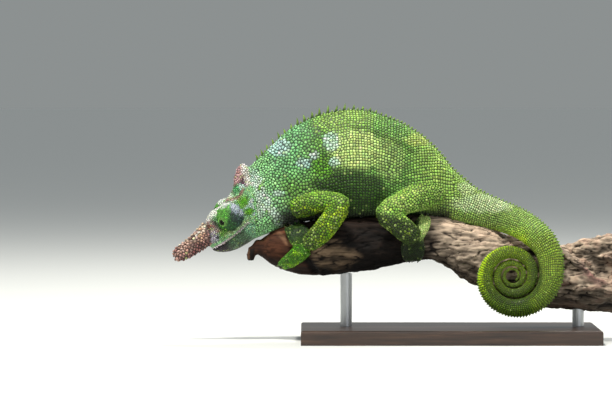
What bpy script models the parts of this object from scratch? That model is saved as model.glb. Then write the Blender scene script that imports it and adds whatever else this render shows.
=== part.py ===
"""Fischer's chameleon on a cut length of branch, a still model at life size on a plain stand.

Units are metres once a mesh is made. All named sizes below are millimetres, and +Z is up.
The animal faces -X with its left side towards -Y. The origin is the centre of the underside
of the stand's base.
"""
import math
import random

import bmesh
import bpy
import numpy as np
from mathutils import Matrix, Vector

MM = 0.001
GAP = 0.3
SUNK = 1.3

# Trunk stations, head end to tail: place along X, ridge of the back, belly, half width
TRUNK_X = (-92.0, -84.0, -76.0, -65.0, -53.0, -45.0, -39.0, -27.0, -15.6, -5.8, 2.6)
TRUNK_TOP = (113.4, 119.2, 123.5, 126.7, 128.1, 127.6, 125.4, 121.0, 113.9, 104.8, 94.3)
TRUNK_BELLY = (62.4, 65.2, 66.4, 67.5, 67.9, 68.4, 68.8, 69.3, 69.3, 68.6, 66.4)
TRUNK_HALF = (9.6, 11.8, 13.4, 14.8, 15.4, 15.5, 15.3, 14.4, 12.7, 10.4, 8.2)
TRUNK_SIDES = 26
TRUNK_STEP = 4.8
TRUNK_MIDDLE = 0.42
BACK_KEEL = 0.55
BELLY_ROUND = 0.85

# Tail up to the coil: centre of each section, its half height and half width
TAIL_X = (2.6, 9.1, 14.9, 21.7, 28.3, 34.3, 39.9, 46.5, 50.6, 53.2, 54.6, 55.1)
TAIL_Y = (0.0, 0.0, 0.0, -0.4, -2.2, -6.0, -10.6, -15.6, -17.8, -19.0, -19.4, -19.5)
TAIL_Z = (80.35, 75.9, 73.3, 71.0, 68.9, 66.7, 64.1, 59.3, 55.0, 50.4, 45.8, 41.4)
TAIL_TALL = (13.95, 10.7, 9.9, 9.0, 8.5, 8.2, 8.0, 7.7, 7.4, 7.1, 6.9, 6.75)
TAIL_HALF = (8.2, 7.6, 7.2, 6.8, 6.5, 6.3, 6.1, 5.9, 5.7, 5.5, 5.4, 5.3)
TAIL_UPRIGHT = 13.0
TAIL_KEEL = (0.4, 0.1)
TAIL_KEEL_ENDS = 60.0
VENT_LOW = 0.16
VENT_ENDS = 12.0

# The coil is a spiral whose width shrinks with each turn, so that the turns nearly touch
COIL_CENTRE = (33.8, 36.9)
COIL_Y = -19.5
COIL_OUTER = 25.85
COIL_SHRINK = 0.0952
COIL_MIDLINE = 0.775
COIL_TALL = 0.2175
COIL_WIDE = 0.2
COIL_LOOSE = 1.1
COIL_LOOSE_FADE = 0.8
COIL_TURNS = 3.2

# Crest along the back: place along the ridge and height of the spines there
CREST_AT = (0.0, 14.0, 35.0, 58.0, 68.0, 90.0, 130.0, 200.0, 300.0)
CREST_TALL = (4.2, 5.4, 4.9, 4.2, 2.6, 2.1, 1.9, 1.6, 1.0)
CREST_SPACING = 3.9
TAIL_CREST_SPACING = 4.2
CREST_LEAN = 28.0
NECK_LONG = 26.0
BODY_LONG = 120.0
COIL_STARTS = 57.0
TAIL_CREST_ENDS = 160.0
NAPE_BARE = 8.5
CREST_SEED = 11
SPINE_SIDES = 4

# Head frame: forward along the closed mouth, up across it, origin at the mouth's corner
MOUTH_CORNER = (-111.4, -7.0, 64.8)
HEAD_PITCH = 36.2
HEAD_ROLL = 15.0
LIP_SIDE = 7.0
MOUTH_F = (24.3, 23.6, 21.4, 18.5, 15.0, 11.0, 6.8, 2.8, 0.0, -0.9, -1.6, -2.2, -2.7, -3.1, -3.4)
MOUTH_U = (-0.9, -1.3, -1.5, -1.6, -1.6, -1.5, -1.1, -0.5, 0.0, -0.4, -0.8, -1.2, -1.5, -1.8, -2.0)
TOP_F = (24.1, 23.0, 20.2, 17.6, 14.2, 10.8, 6.9, 2.7, -2.0, -5.4, -9.4, -13.0, -16.2, -18.0, -18.7)
TOP_U = (2.8, 7.2, 11.4, 14.2, 16.0, 16.6, 16.8, 17.1, 18.6, 20.6, 24.2, 26.9, 28.3, 27.4, 23.8)
CHIN_F = (24.2, 23.4, 21.6, 19.6, 16.4, 12.6, 9.0, 5.2, 4.5, 4.0, 3.6, 3.3, 3.0, 2.7, 2.4)
CHIN_U = (-1.9, -4.0, -6.0, -7.7, -9.4, -10.6, -11.2, -11.5,
          -11.5, -11.5, -11.5, -11.6, -11.6, -11.6, -11.6)
HEAD_HALF = (2.4, 4.0, 5.2, 6.0, 6.9, 7.8, 8.5, 9.0, 9.3, 9.5, 9.6, 9.6, 9.5, 9.4, 9.3)
CREST_LEVEL = (0.80, 0.82, 0.84, 0.86, 0.88, 0.9, 0.9, 0.88, 0.8, 0.73, 0.7, 0.75, 0.86, 0.93, 0.9)
CREST_OUT = (0.7, 0.72, 0.76, 0.82, 0.86, 0.86, 0.86, 0.84, 0.8, 0.74, 0.62, 0.46, 0.28, 0.2, 0.3)
HEAD_STEPS = 22
CASQUE_FROM = 0.5
CASQUE_FULL = 0.75
CROWN_DIP = 0.5

# Sides of the head: share of the way up from the mouth's line, or down from it, and of the half width.
# The upper lip is a low roll over a shallow groove, and so is the lower one
FACE_HIGH = (0.0, 0.07, 0.17, 0.32, 0.52)
FACE_OUT = (0.84, 0.97, 0.92, 1.0, 0.97)
BROW_BELOW = 0.12
JAW_DOWN = (0.12, 0.28, 0.54, 0.8)
JAW_OUT = (0.97, 0.89, 0.76, 0.42)
JAW_ROOF_OUT = 0.82
NOSTRIL = (17.6, 6.1, 3.5)
NOSTRIL_R = 0.9
NOSTRIL_DEEP = 1.3

# Eye turrets: domes set in the sides of the head, with a lidded opening on their own axis
TURRET_F = 5.0
TURRET_U = 9.2
TURRET_SIDE = 5.4
TURRET_R = 7.8
TURRET_BACK = 1.2
TURRET_AHEAD = 48.0
TURRET_LIFT = 8.4
TURRET_SIDES = 16
LID_R = 1.95
LID_RIM = 1.3
LID_RAISE = 0.5
EYE_R = 1.5
EYE_SUNK = 1.8
EYE_TALL = 1.0
EYE_SIDES = 10

# Rostral horns: two upright blades with coarse plates
HORN_F = (18.5, 22.5, 27.0, 31.0, 35.0, 38.6, 41.6, 43.6)
HORN_LOW = (2.6, 1.6, 1.8, 2.2, 2.6, 3.4, 4.4, 6.0)
HORN_HIGH = (13.0, 12.4, 11.4, 10.8, 10.6, 10.6, 10.2, 8.4)
HORN_HALF = (2.0, 2.1, 2.1, 2.0, 1.8, 1.6, 1.3, 0.8)
HORN_SIDE = (3.0, 3.4, 3.8, 4.0, 4.2, 4.3, 4.4, 4.4)
HORN_RINGS = 17
HORN_SIDES = 14
PLATE_RAISE = 0.55

# Branch: centre line, half height, half depth and a gentle knobbly outline
BRANCH_X = (-107.0, -101.8, -95.7, -88.0, -79.8, -69.9, -59.4, -45.7, -36.3, -27.5, -20.9, -12.1,
            -2.8, 3.3, 9.9, 18.7, 27.5, 38.5, 52.3, 63.3, 74.2, 89.1, 95.0)
BRANCH_Z = (50.6, 50.6, 50.2, 50.3, 50.3, 51.1, 52.1, 52.9, 54.2, 55.4, 56.0, 56.6,
            54.4, 51.3, 48.7, 45.4, 42.3, 38.9, 36.4, 35.6, 35.8, 37.0, 37.2)
BRANCH_TALL = (1.6, 6.6, 9.7, 12.6, 14.3, 15.0, 15.1, 14.6, 13.8, 12.9, 12.4, 11.4,
               12.9, 14.1, 15.6, 16.5, 17.2, 17.4, 18.0, 17.5, 18.9, 21.0, 21.4)
BRANCH_DEEP = (1.8, 5.6, 8.0, 9.8, 11.2, 12.0, 12.2, 12.0, 11.4, 10.8, 10.4, 10.0,
               10.4, 11.0, 11.6, 12.0, 12.2, 12.2, 12.4, 13.0, 14.5, 16.5, 17.0)
BRANCH_SIDES = 16
BRANCH_STEP = 7.5
KNOB = 0.035
SPUR = ((-101.0, 0.0, 49.6), (-105.8, -1.0, 51.0), (-109.4, -1.8, 49.2), (-109.8, -2.4, 44.6))
SPUR_R = (4.4, 3.7, 3.1, 2.3)
KNOT = ((60.0, -3.0, 46.6), (68.0, -6.0, 49.3), (77.0, -8.0, 51.8), (86.0, -8.5, 53.6),
        (95.0, -8.0, 54.0))
KNOT_R = (3.0, 4.8, 5.6, 5.6, 5.2)
SPLINTER = ((56.6, -9.0, 53.0), (63.0, -12.0, 48.6), (70.0, -14.6, 43.6), (75.0, -15.6, 40.6))
SPLINTER_R = (1.2, 2.4, 2.4, 1.0)
HOLLOW = ((75.5, -13.5, 44.4), (82.0, -15.5, 41.6), (89.5, -18.0, 38.6))
HOLLOW_R = (3.6, 7.0, 8.2)

# Stand: a flat base and two short rods up to the underside of the branch
BASE_LONG = 164.0
BASE_DEEP = 92.0
BASE_TALL = 8.0
BASE_BEVEL = 1.2
ROD_R = 3.2
ROD_X = (-57.0, 71.0)
ROD_SINK = 6.0

# Limbs of the left side: centre line and radius. The right side mirrors them, moved along X
LIMB_SIDES = 10
UPPER_ARM = ((-84.0, -6.0, 74.6), (-76.0, -11.8, 76.2), (-68.0, -16.6, 78.0), (-61.6, -20.2, 77.4),
             (-57.6, -21.6, 75.8))
UPPER_ARM_R = (7.3, 6.6, 5.3, 5.4, 4.5)
FOREARM = ((-60.4, -20.6, 75.0), (-65.0, -21.4, 68.0), (-71.0, -20.6, 60.4), (-77.8, -18.0, 54.2))
FOREARM_R = (5.8, 6.3, 6.2, 5.0)
THIGH = ((-8.0, -4.0, 82.0), (-16.0, -9.6, 80.4), (-26.0, -15.9, 76.6), (-34.4, -19.8, 72.6),
         (-38.6, -21.2, 69.8))
THIGH_R = (9.0, 8.4, 6.8, 6.3, 4.6)
SHIN = ((-36.6, -20.6, 70.2), (-31.4, -20.8, 66.8), (-25.6, -19.6, 62.4), (-19.8, -17.4, 57.6))
SHIN_R = (5.8, 6.2, 6.6, 5.8)
FAR_ARM_BACK = 3.0
FAR_LEG_BACK = -4.0
LIMB_RINGS = 7

# Toe bundles lie on the branch: place along X, angle round it from the front, up being positive
HAND_DOWN = ((-79.0, 4.0), (-84.0, -8.0), (-88.5, -22.0), (-92.5, -38.0))
HAND_UP = ((-79.5, 8.0), (-82.0, 25.0), (-84.5, 41.0), (-87.0, 57.0))
FOOT_DOWN = ((-20.2, 2.0), (-20.4, -14.0), (-20.6, -30.0), (-20.8, -46.0))
FOOT_UP = ((-19.0, 6.0), (-16.4, 24.0), (-14.6, 41.0), (-13.6, 57.0))
TOE_R = (3.3, 3.0, 2.6, 1.9)
TOE_SPREAD = (0.55, 1.0, 0.95, 0.8)
TOE_PITCH = 4.3
TOE_SIDES = 6
TOE_RINGS = 4
PALM_R = 4.4
PALM_SIDES = 8
PALM_LIFT = (0.6, -0.2, -1.0)
TOE_LIFT = 0.25
CLAW_LONG = 2.0
CLAW_R = 0.7
CLAW_SIDES = 4


def smooth(keys, values, places):
    """Reads a curve through the given values at new places, without overshooting between them."""
    keys = np.array(keys, float)
    values = np.array(values, float)
    if keys[0] > keys[-1]:
        keys, values = keys[::-1], values[::-1]
    places = np.clip(np.asarray(places, float), keys[0], keys[-1])
    span = np.diff(keys)
    slope = np.diff(values) / span
    inner = np.zeros(len(keys))
    agree = slope[:-1] * slope[1:] > 0
    with np.errstate(divide="ignore", invalid="ignore"):
        mean = (span[1:] + 2 * span[:-1]) / slope[:-1] + (span[:-1] + 2 * span[1:]) / slope[1:]
        inner[1:-1] = np.where(agree, 3 * (span[1:] + span[:-1]) / mean, 0.0)
    inner[0], inner[-1] = slope[0], slope[-1]
    k = np.clip(np.searchsorted(keys, places) - 1, 0, len(span) - 1)
    t = (places - keys[k]) / span[k]
    h = span[k]
    rise = values[k] * (2 * t**3 - 3 * t**2 + 1) + values[k + 1] * (3 * t**2 - 2 * t**3)
    return rise + h * (inner[k] * (t**3 - 2 * t**2 + t) + inner[k + 1] * (t**3 - t**2))


def lengths(points):
    """Length travelled along a line of points up to each of them."""
    return np.concatenate([[0.0], np.cumsum(np.linalg.norm(np.diff(points, axis=0), axis=1))])


def even(points, columns, count):
    """Even steps along a smooth line through points, with other values read at the same steps."""
    points = np.array(points, float)
    s = lengths(points)
    at = np.linspace(0.0, s[-1], count)
    line = np.stack([smooth(s, points[:, axis], at) for axis in range(3)], axis=1)
    return line, [smooth(s, column, at) for column in columns]


def unit(v):
    """The same direction with a length of one."""
    return v / np.linalg.norm(v, axis=-1, keepdims=True)


def material(name, colour, roughness, metallic=0.0):
    """A plain surface of one colour."""
    made = bpy.data.materials.new(name)
    made.use_nodes = True
    shader = made.node_tree.nodes["Principled BSDF"]
    shader.inputs["Base Color"].default_value = (*colour, 1.0)
    shader.inputs["Roughness"].default_value = roughness
    shader.inputs["Metallic"].default_value = metallic
    return made


def solid(name, points, faces):
    """A closed object from points in millimetres, its faces turned outwards and triangulated."""
    mesh = bpy.data.meshes.new(name)
    mesh.from_pydata([tuple(p) for p in np.array(points, float) * MM], [], faces)
    work = bmesh.new()
    work.from_mesh(mesh)
    bmesh.ops.triangulate(work, faces=work.faces[:])
    bmesh.ops.recalc_face_normals(work, faces=work.faces[:])
    work.to_mesh(mesh)
    work.free()
    made = bpy.data.objects.new(name, mesh)
    bpy.context.scene.collection.objects.link(made)
    return made


def loft(name, rings, ends=(0.0, 0.0)):
    """Skins a row of equal rings and closes each end with a fan, pushed out by ends."""
    rings = [np.array(ring, float) for ring in rings]
    count = len(rings[0])
    points = [p for ring in rings for p in ring]
    faces = []
    for k in range(len(rings) - 1):
        for i in range(count):
            j = (i + 1) % count
            faces.append((k * count + i, k * count + j, (k + 1) * count + j, (k + 1) * count + i))
    middles = [ring.mean(axis=0) for ring in rings]
    out = (middles[0] - middles[1], middles[-1] - middles[-2])
    for k in (0, 1):
        centre = len(points)
        points.append(middles[-k] + unit(out[k]) * ends[k])
        first = k * (len(rings) - 1) * count
        faces += [(first + i, first + (i + 1) % count, centre) for i in range(count)]
    return solid(name, points, faces)


def tube(name, line, radii, sides, guide, ends, flat=1.0):
    """A round or flattened tube along a line. Flat scales it across the guide's direction."""
    along = unit(np.gradient(line, axis=0))
    across = unit(np.cross(along, guide))
    over = np.cross(across, along)
    turn = np.arange(sides) * 2 * math.pi / sides
    rings = []
    for k, centre in enumerate(line):
        swing = np.cos(turn)[:, None] * across[k] + flat * np.sin(turn)[:, None] * over[k]
        rings.append(centre + radii[k] * swing)
    return loft(name, rings, ends)


def largest(piece):
    """Keeps only the largest closed surface of a piece."""
    work = bmesh.new()
    work.from_mesh(piece.data)
    left = set(work.faces)
    groups = []
    while left:
        group = {left.pop()}
        edge = list(group)
        while edge:
            for side in edge.pop().edges:
                for face in side.link_faces:
                    if face in left:
                        left.discard(face)
                        group.add(face)
                        edge.append(face)
        groups.append(group)
    keep = max(groups, key=lambda group: sum(face.calc_area() for face in group))
    drop = [face for group in groups if group is not keep for face in group]
    bmesh.ops.delete(work, geom=drop, context="FACES")
    loose = [vert for vert in work.verts if not vert.link_faces]
    bmesh.ops.delete(work, geom=loose, context="VERTS")
    work.to_mesh(piece.data)
    work.free()


def combine(piece, others, operation):
    """Joins the others to a piece, or cuts them from it, then removes them."""
    group = bpy.data.collections.new("tools")
    for other in others:
        group.objects.link(other)
    change = piece.modifiers.new("combine", "BOOLEAN")
    change.operand_type = "COLLECTION"
    change.collection = group
    change.operation = operation
    change.solver = "EXACT"
    view = bpy.context.evaluated_depsgraph_get()
    piece.data = bpy.data.meshes.new_from_object(piece.evaluated_get(view))
    piece.modifiers.clear()
    for other in others:
        bpy.data.objects.remove(other)
    bpy.data.collections.remove(group)
    largest(piece)


def finish(piece, surface, sharp=50.0):
    """Gives a piece its surface and its shading."""
    piece.data.materials.clear()
    piece.data.materials.append(surface)
    piece.data.shade_smooth()
    piece.data.set_sharp_from_angle(angle=math.radians(sharp))


def round_angles(sides):
    """Evenly spaced angles round a section."""
    return np.arange(sides) * 2 * math.pi / sides


def section(centre, side, up, tall, low, half, sides, keel):
    """One body section, from the ridge of the back down the left side and up the right one."""
    turn = round_angles(sides)
    rise = np.cos(turn)
    width = np.abs(np.sin(turn)) ** np.where(rise > 0, 1.0 + keel, BELLY_ROUND)
    across = -np.sign(np.sin(turn)) * width * half
    height = np.where(rise > 0, tall * rise, low * rise)
    return centre + across[:, None] * side + height[:, None] * up


def trunk_ring(x, grow=0.0):
    """A section of the trunk, upright and square to X."""
    top = smooth(TRUNK_X, TRUNK_TOP, x) + grow
    belly = smooth(TRUNK_X, TRUNK_BELLY, x) - grow
    half = smooth(TRUNK_X, TRUNK_HALF, x) + grow
    level = belly + TRUNK_MIDDLE * (top - belly)
    keel = BACK_KEEL * smooth((TRUNK_X[0], -60.0, TRUNK_X[-1]), (0.35, 1.0, 0.3), x)
    centre = np.array((float(x), 0.0, float(level)))
    side, up = np.array((0.0, 1.0, 0.0)), np.array((0.0, 0.0, 1.0))
    return section(centre, side, up, top - level, level - belly, half, TRUNK_SIDES, float(keel))


def tail_line():
    """The tail's centre line with its half height and half width, from the vent to the tip."""
    turn = np.arange(0.0, COIL_TURNS * 2 * math.pi, 0.12)
    shrink = np.exp(-COIL_SHRINK * turn)
    loose = COIL_LOOSE * np.exp(-turn / COIL_LOOSE_FADE)
    radius = COIL_OUTER * COIL_MIDLINE * shrink + loose
    x = np.concatenate([TAIL_X, COIL_CENTRE[0] + radius * np.cos(turn)])
    z = np.concatenate([TAIL_Z, COIL_CENTRE[1] - radius * np.sin(turn)])
    y = np.concatenate([TAIL_Y, np.full(len(turn), COIL_Y)])
    tall = np.concatenate([TAIL_TALL, COIL_OUTER * COIL_TALL * shrink + 0.9 * loose])
    half = np.concatenate([TAIL_HALF, COIL_OUTER * COIL_WIDE * shrink + 0.3 * loose])
    return np.stack([x, y, z], axis=1), tall, half


def tail_rings(start, end, step, sides):
    """Sections of the tail between two lengths from the vent."""
    points, tall, half = tail_line()
    s = lengths(points)
    end = min(end, s[-1])
    at = np.linspace(start, end, max(4, int((end - start) / step) + 1))
    line = np.stack([smooth(s, points[:, axis], at) for axis in range(3)], axis=1)
    ahead = np.stack([smooth(s, points[:, axis], at + 0.2) for axis in range(3)], axis=1)
    behind = np.stack([smooth(s, points[:, axis], at - 0.2) for axis in range(3)], axis=1)
    along = unit(ahead - behind)
    ease = np.clip(at / TAIL_UPRIGHT, 0.0, 1.0)[:, None]
    along = unit((1 - ease) * np.array((1.0, 0.0, 0.0)) + ease * along)
    side = unit(np.cross(np.cross(along, (0.0, 1.0, 0.0)), along))
    up = np.cross(along, side)
    rings = []
    for k in range(len(at)):
        high = float(smooth(s, tall, at[k]))
        wide = float(smooth(s, half, at[k]))
        keel = TAIL_KEEL[1] + (TAIL_KEEL[0] - TAIL_KEEL[1]) * (1 - min(at[k] / TAIL_KEEL_ENDS, 1.0))
        drop = VENT_LOW * high * (1 - min(at[k] / VENT_ENDS, 1.0))
        centre = line[k] - drop * up[k]
        rings.append(section(centre, side[k], up[k], high + drop, high - drop, wide, sides, keel))
    return rings


def head_place():
    """The head frame in the part's frame."""
    pitch = Matrix.Rotation(-math.radians(HEAD_PITCH), 4, "Y")
    roll = Matrix.Rotation(math.radians(HEAD_ROLL), 4, "X")
    at = Matrix.Translation(Vector(MOUTH_CORNER))
    return at @ pitch @ roll @ Matrix.Translation((0.0, LIP_SIDE, 0.0))


def from_head(points):
    """Turns head points (forward, right, up) into the part's frame."""
    place = head_place()
    return np.array([tuple(place @ Vector((-p[0], p[1], p[2]))) for p in points])


def head_row(t):
    """All the head's measures at a place from 0 at the lips' front to 1 at the nape."""
    keys = np.linspace(0.0, 1.0, len(MOUTH_F))
    names = (MOUTH_F, MOUTH_U, TOP_F, TOP_U, CHIN_F, CHIN_U, HEAD_HALF, CREST_LEVEL, CREST_OUT)
    return [float(smooth(keys, column, t)) for column in names]


def upper_half(level, out, casque):
    """Heights and half widths of the skull's side, from the lip up to the middle of the top."""
    crown = out * (0.62 * (1 - casque) + 0.28 * casque)
    high = FACE_HIGH + (level - BROW_BELOW, level, 0.5 * (1 + level), 1.0)
    face = FACE_OUT + (1.02 * out, out, crown, 0.0)
    return high, face


def other_side(left):
    """The right half of a head section, from the bottom back up, without its two middle points."""
    return [(f, -r, u) for f, r, u in left[-2:0:-1]]


def skull_ring(t, grow=0.0, full=False):
    """A section of the head in its own frame. Full runs on round the jaw."""
    mf, mu, tf, tu, cf, cu, half, level, out = head_row(t)
    casque = min(max((t - CASQUE_FROM) / (CASQUE_FULL - CASQUE_FROM), 0.0), 1.0)
    high, face = upper_half(level, out, casque)
    low = np.array((mf, mu))
    top = np.array((tf, tu + grow))
    chin = np.array((cf, cu - grow))
    left = []
    for h, w in list(zip(high, face))[::-1]:
        spot = low + h * (top - low)
        dip = CROWN_DIP * (1 - casque) if w == 0.0 else 0.0
        wide = w * half + grow if w > 0.0 else 0.0
        left.append((spot[0], -wide, spot[1] - dip))
    if full:
        for down, w in zip(JAW_DOWN, JAW_OUT):
            spot = low + down * (chin - low)
            left.append((spot[0], -(w * half + grow), spot[1]))
        left.append((chin[0], 0.0, chin[1]))
    else:
        left.append((low[0], 0.0, low[1] - grow))
    return left + other_side(left)


def jaw_ring(t):
    """A section of the lower jaw in the head frame, just under the line of the mouth."""
    mf, mu, tf, tu, cf, cu, half, level, out = head_row(t)
    low = np.array((mf, mu - GAP))
    chin = np.array((cf, cu))
    left = [(low[0], 0.0, low[1]), (low[0], -JAW_ROOF_OUT * half, low[1])]
    for down, w in zip(JAW_DOWN, JAW_OUT):
        spot = low + down * (chin - low)
        left.append((spot[0], -w * half, spot[1]))
    left.append((chin[0], 0.0, chin[1]))
    return left + other_side(left)


def skull(name, grow=0.0):
    """The skull with its casque, closed along the roof of the mouth."""
    steps = np.linspace(0.0, 1.0, HEAD_STEPS)
    rings = [from_head(skull_ring(t, grow)) for t in steps]
    return loft(name, rings, (0.3 + grow, 0.0))


def nostril(side):
    """A short rod that bores one nostril into the snout."""
    f, r, u = NOSTRIL
    line = from_head([(f, side * (r - NOSTRIL_DEEP), u), (f, side * (r + NOSTRIL_DEEP), u)])
    return tube("cut", line, (NOSTRIL_R, NOSTRIL_R), 8, np.array((0.0, 0.0, 1.0)), (0.0, 0.0))


def eye_turned(name, profile, side, sides, end):
    """Turns a profile of (radius, place along the axis) round one eye's axis."""
    swing, lift = math.radians(TURRET_AHEAD), math.radians(TURRET_LIFT)
    level = np.array((math.sin(swing), side * math.cos(swing), 0.0))
    first = np.array((math.cos(swing), -side * math.sin(swing), 0.0))
    upright = np.array((0.0, 0.0, 1.0))
    axis = math.cos(lift) * level + math.sin(lift) * upright
    second = math.cos(lift) * upright - math.sin(lift) * level
    centre = np.array((TURRET_F, side * TURRET_SIDE, TURRET_U))
    turn = round_angles(sides)
    spokes = np.cos(turn)[:, None] * first + np.sin(turn)[:, None] * second
    rings = [from_head(centre + along * axis + out * spokes) for out, along in profile]
    return loft(name, rings, (0.0, end))


def turret(name, side, grow=0.0, plain=False):
    """A dome on one side of the head, round its own axis, with a rimmed pit for the eye."""
    r = TURRET_R + grow
    closing = (2.8, 3.0) if plain else ()
    angles = tuple(np.linspace(0.25, 2.55, 8)) + closing
    profile = [(r * math.sin(a), -r * math.cos(a)) for a in angles]
    if not plain:
        rise = math.sqrt(r * r - LID_R * LID_R)
        profile += [(LID_R + LID_RIM, rise - 0.35), (LID_R + 0.5, rise + LID_RAISE)]
        profile += [(LID_R - 0.1, rise + 0.9 * LID_RAISE), (LID_R - 0.15, rise - EYE_SUNK)]
    made = eye_turned(name, profile, side, TURRET_SIDES, 0.0)
    flat = from_head([(0.0, side * (TURRET_BACK - grow), 0.0), (0.0, side, 0.0), (0.0, 0.0, 0.0)])
    normal = Vector(flat[1] - flat[2]).normalized()
    work = bmesh.new()
    work.from_mesh(made.data)
    everything = work.verts[:] + work.edges[:] + work.faces[:]
    bmesh.ops.bisect_plane(work, geom=everything, plane_co=Vector(flat[0]) * MM, plane_no=normal,
                           clear_inner=True)
    bmesh.ops.holes_fill(work, edges=[edge for edge in work.edges if edge.is_boundary])
    bmesh.ops.triangulate(work, faces=work.faces[:])
    bmesh.ops.recalc_face_normals(work, faces=work.faces[:])
    work.to_mesh(made.data)
    work.free()
    return made


def eye(name, side):
    """The eyeball's front, a small dome at the bottom of the turret's opening."""
    floor = math.sqrt(TURRET_R**2 - LID_R**2) - EYE_SUNK + GAP
    profile = [(EYE_R, floor), (EYE_R, floor + 0.5 * EYE_TALL), (0.72 * EYE_R, floor + EYE_TALL)]
    return eye_turned(name, profile, side, EYE_SIDES, 0.25 * EYE_TALL)


def horn(name, side):
    """An upright blade ahead of the eye, its sides covered by raised plates in offset rows."""
    at = np.linspace(HORN_F[0], HORN_F[-1], HORN_RINGS)
    rings = []
    for k, f in enumerate(at):
        low = float(smooth(HORN_F, HORN_LOW, f))
        high = float(smooth(HORN_F, HORN_HIGH, f))
        half = float(smooth(HORN_F, HORN_HALF, f))
        out = float(smooth(HORN_F, HORN_SIDE, f))
        ring = []
        for i in range(HORN_SIDES):
            turn = 2 * math.pi * (i + 0.5) / HORN_SIDES
            raised = PLATE_RAISE if (i + k) % 2 else 0.0
            wide = (half + raised) * math.sin(turn)
            tall = (0.5 * (high - low) + 0.6 * raised) * math.cos(turn)
            ring.append((f, side * out + wide, 0.5 * (high + low) + tall))
        rings.append(from_head(ring))
    return loft(name, rings, (0.0, 0.8))


def branch_ring(x, grow=0.0, turn=None):
    """A section of the branch, or single points on it, at an angle up from its front face."""
    turn = round_angles(BRANCH_SIDES) if turn is None else np.asarray(turn, float)
    knob = 1 + KNOB * (np.sin(3 * turn + 0.11 * x) + 0.8 * np.sin(2 * turn - 0.07 * x + 1.0))
    deep = (smooth(BRANCH_X, BRANCH_DEEP, x) * knob + grow) * np.cos(turn)
    tall = (smooth(BRANCH_X, BRANCH_TALL, x) + grow) * np.sin(turn)
    level = float(smooth(BRANCH_X, BRANCH_Z, x))
    return np.stack([np.full(np.shape(turn), float(x)), -deep, level + tall], axis=-1)


def branch(name, grow=0.0):
    """The perch without its knot and spur."""
    count = int((BRANCH_X[-1] - BRANCH_X[0]) / BRANCH_STEP)
    rings = [branch_ring(x, grow) for x in np.linspace(BRANCH_X[0], BRANCH_X[-1], count)]
    return loft(name, rings, (0.8, 0.0))


def limb(name, line, radii, side, back, grow=0.0, ends=(3.0, 3.0)):
    """One length of a limb, on the left where side is 1 and mirrored on the right."""
    line, (radii,) = even(line, [radii], LIMB_RINGS)
    line = line * (1.0, side, 1.0) + (back, 0.0, 0.0)
    guide = np.array((0.3, side * 1.0, 0.2))
    return tube(name, line, radii + grow, LIMB_SIDES, guide, [end + grow for end in ends])


def bundle(name, places, toes, side, back, grow=0.0):
    """Toes side by side on the branch, from the palm to the claws, as closed tubes."""
    pieces = []
    keys = np.linspace(0.0, 1.0, len(places))
    at = np.linspace(0.0, 1.0, TOE_RINGS)
    x = smooth(keys, [p[0] for p in places], at)
    turn = np.radians(smooth(keys, [p[1] for p in places], at))
    radii = smooth(keys, TOE_R, at)
    spread = smooth(keys, TOE_SPREAD, at)
    middle = np.array([branch_ring(a + back, r + GAP + TOE_LIFT, b) for a, b, r in zip(x, turn, radii)])
    along = unit(np.gradient(middle, axis=0))
    inward = middle - np.stack([x + back, 0 * x, smooth(BRANCH_X, BRANCH_Z, x + back)], axis=1)
    across = unit(np.cross(along, inward))
    for toe in range(toes):
        offset = (toe - 0.5 * (toes - 1)) * TOE_PITCH * spread
        line = middle + offset[:, None] * across
        line = line * (1.0, side, 1.0)
        guide = unit(inward.mean(axis=0)) * (1.0, side, 1.0)
        ends = (1.0, 0.9 * radii[-1] + grow)
        pieces.append(tube(f"{name}_toe_{toe}", line, radii + grow, TOE_SIDES, guide, ends))
        tip = line[-1] + 0.25 * (line[-1] - line[-2])
        ahead = unit(line[-1] - line[-2])
        lift = unit(inward[-1]) * (1.0, side, 1.0)
        claw = np.array([tip, tip + 0.5 * CLAW_LONG * ahead])
        sizes = np.array((CLAW_R, 0.7 * CLAW_R)) + grow
        end = 0.6 * CLAW_LONG + grow
        pieces.append(tube(f"{name}_claw_{toe}", claw, sizes, CLAW_SIDES, lift, (0.0, end)))
    return pieces


def palm(name, places, side, back, grow=0.0):
    """The rounded palm or sole between limb and toes."""
    first, last = np.array(places[0]), np.array(places[1])
    spots = (first, 0.5 * (first + last), last)
    line = np.array([branch_ring(x + back, PALM_R + GAP + lift, math.radians(turn))
                     for (x, turn), lift in zip(spots, PALM_LIFT)])
    line = line * (1.0, side, 1.0)
    radii = PALM_R * np.array((0.9, 1.0, 0.7)) + grow
    return tube(name, line, radii, PALM_SIDES, np.array((0.2, -side, 0.1)), (1.5 + grow, 1.0))


def spines(start, end, spacing, places, ups, alongs, reach):
    """Cones along a ridge between two lengths, leaning towards the tail."""
    draw = random.Random(CREST_SEED)
    pieces = []
    s = lengths(places)
    at = start
    while at < end:
        root = np.array([np.interp(at, s, places[:, axis]) for axis in range(3)])
        up = unit(np.array([np.interp(at, s, ups[:, axis]) for axis in range(3)]))
        along = unit(np.array([np.interp(at, s, alongs[:, axis]) for axis in range(3)]))
        tall = float(smooth(CREST_AT, CREST_TALL, at + reach)) * draw.uniform(0.88, 1.12)
        lean = math.radians(CREST_LEAN) * draw.uniform(0.7, 1.3)
        ahead = unit(math.cos(lean) * up + math.sin(lean) * along)
        wide = 0.55 + 0.14 * tall
        line = np.array([root - SUNK * up, root + 0.45 * tall * ahead])
        sizes = np.array((1.25, 0.62)) * wide
        pieces.append(tube("spine", line, sizes, SPINE_SIDES, along, (0.0, 0.55 * tall)))
        at += spacing * draw.uniform(0.9, 1.1)
    return pieces


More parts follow.
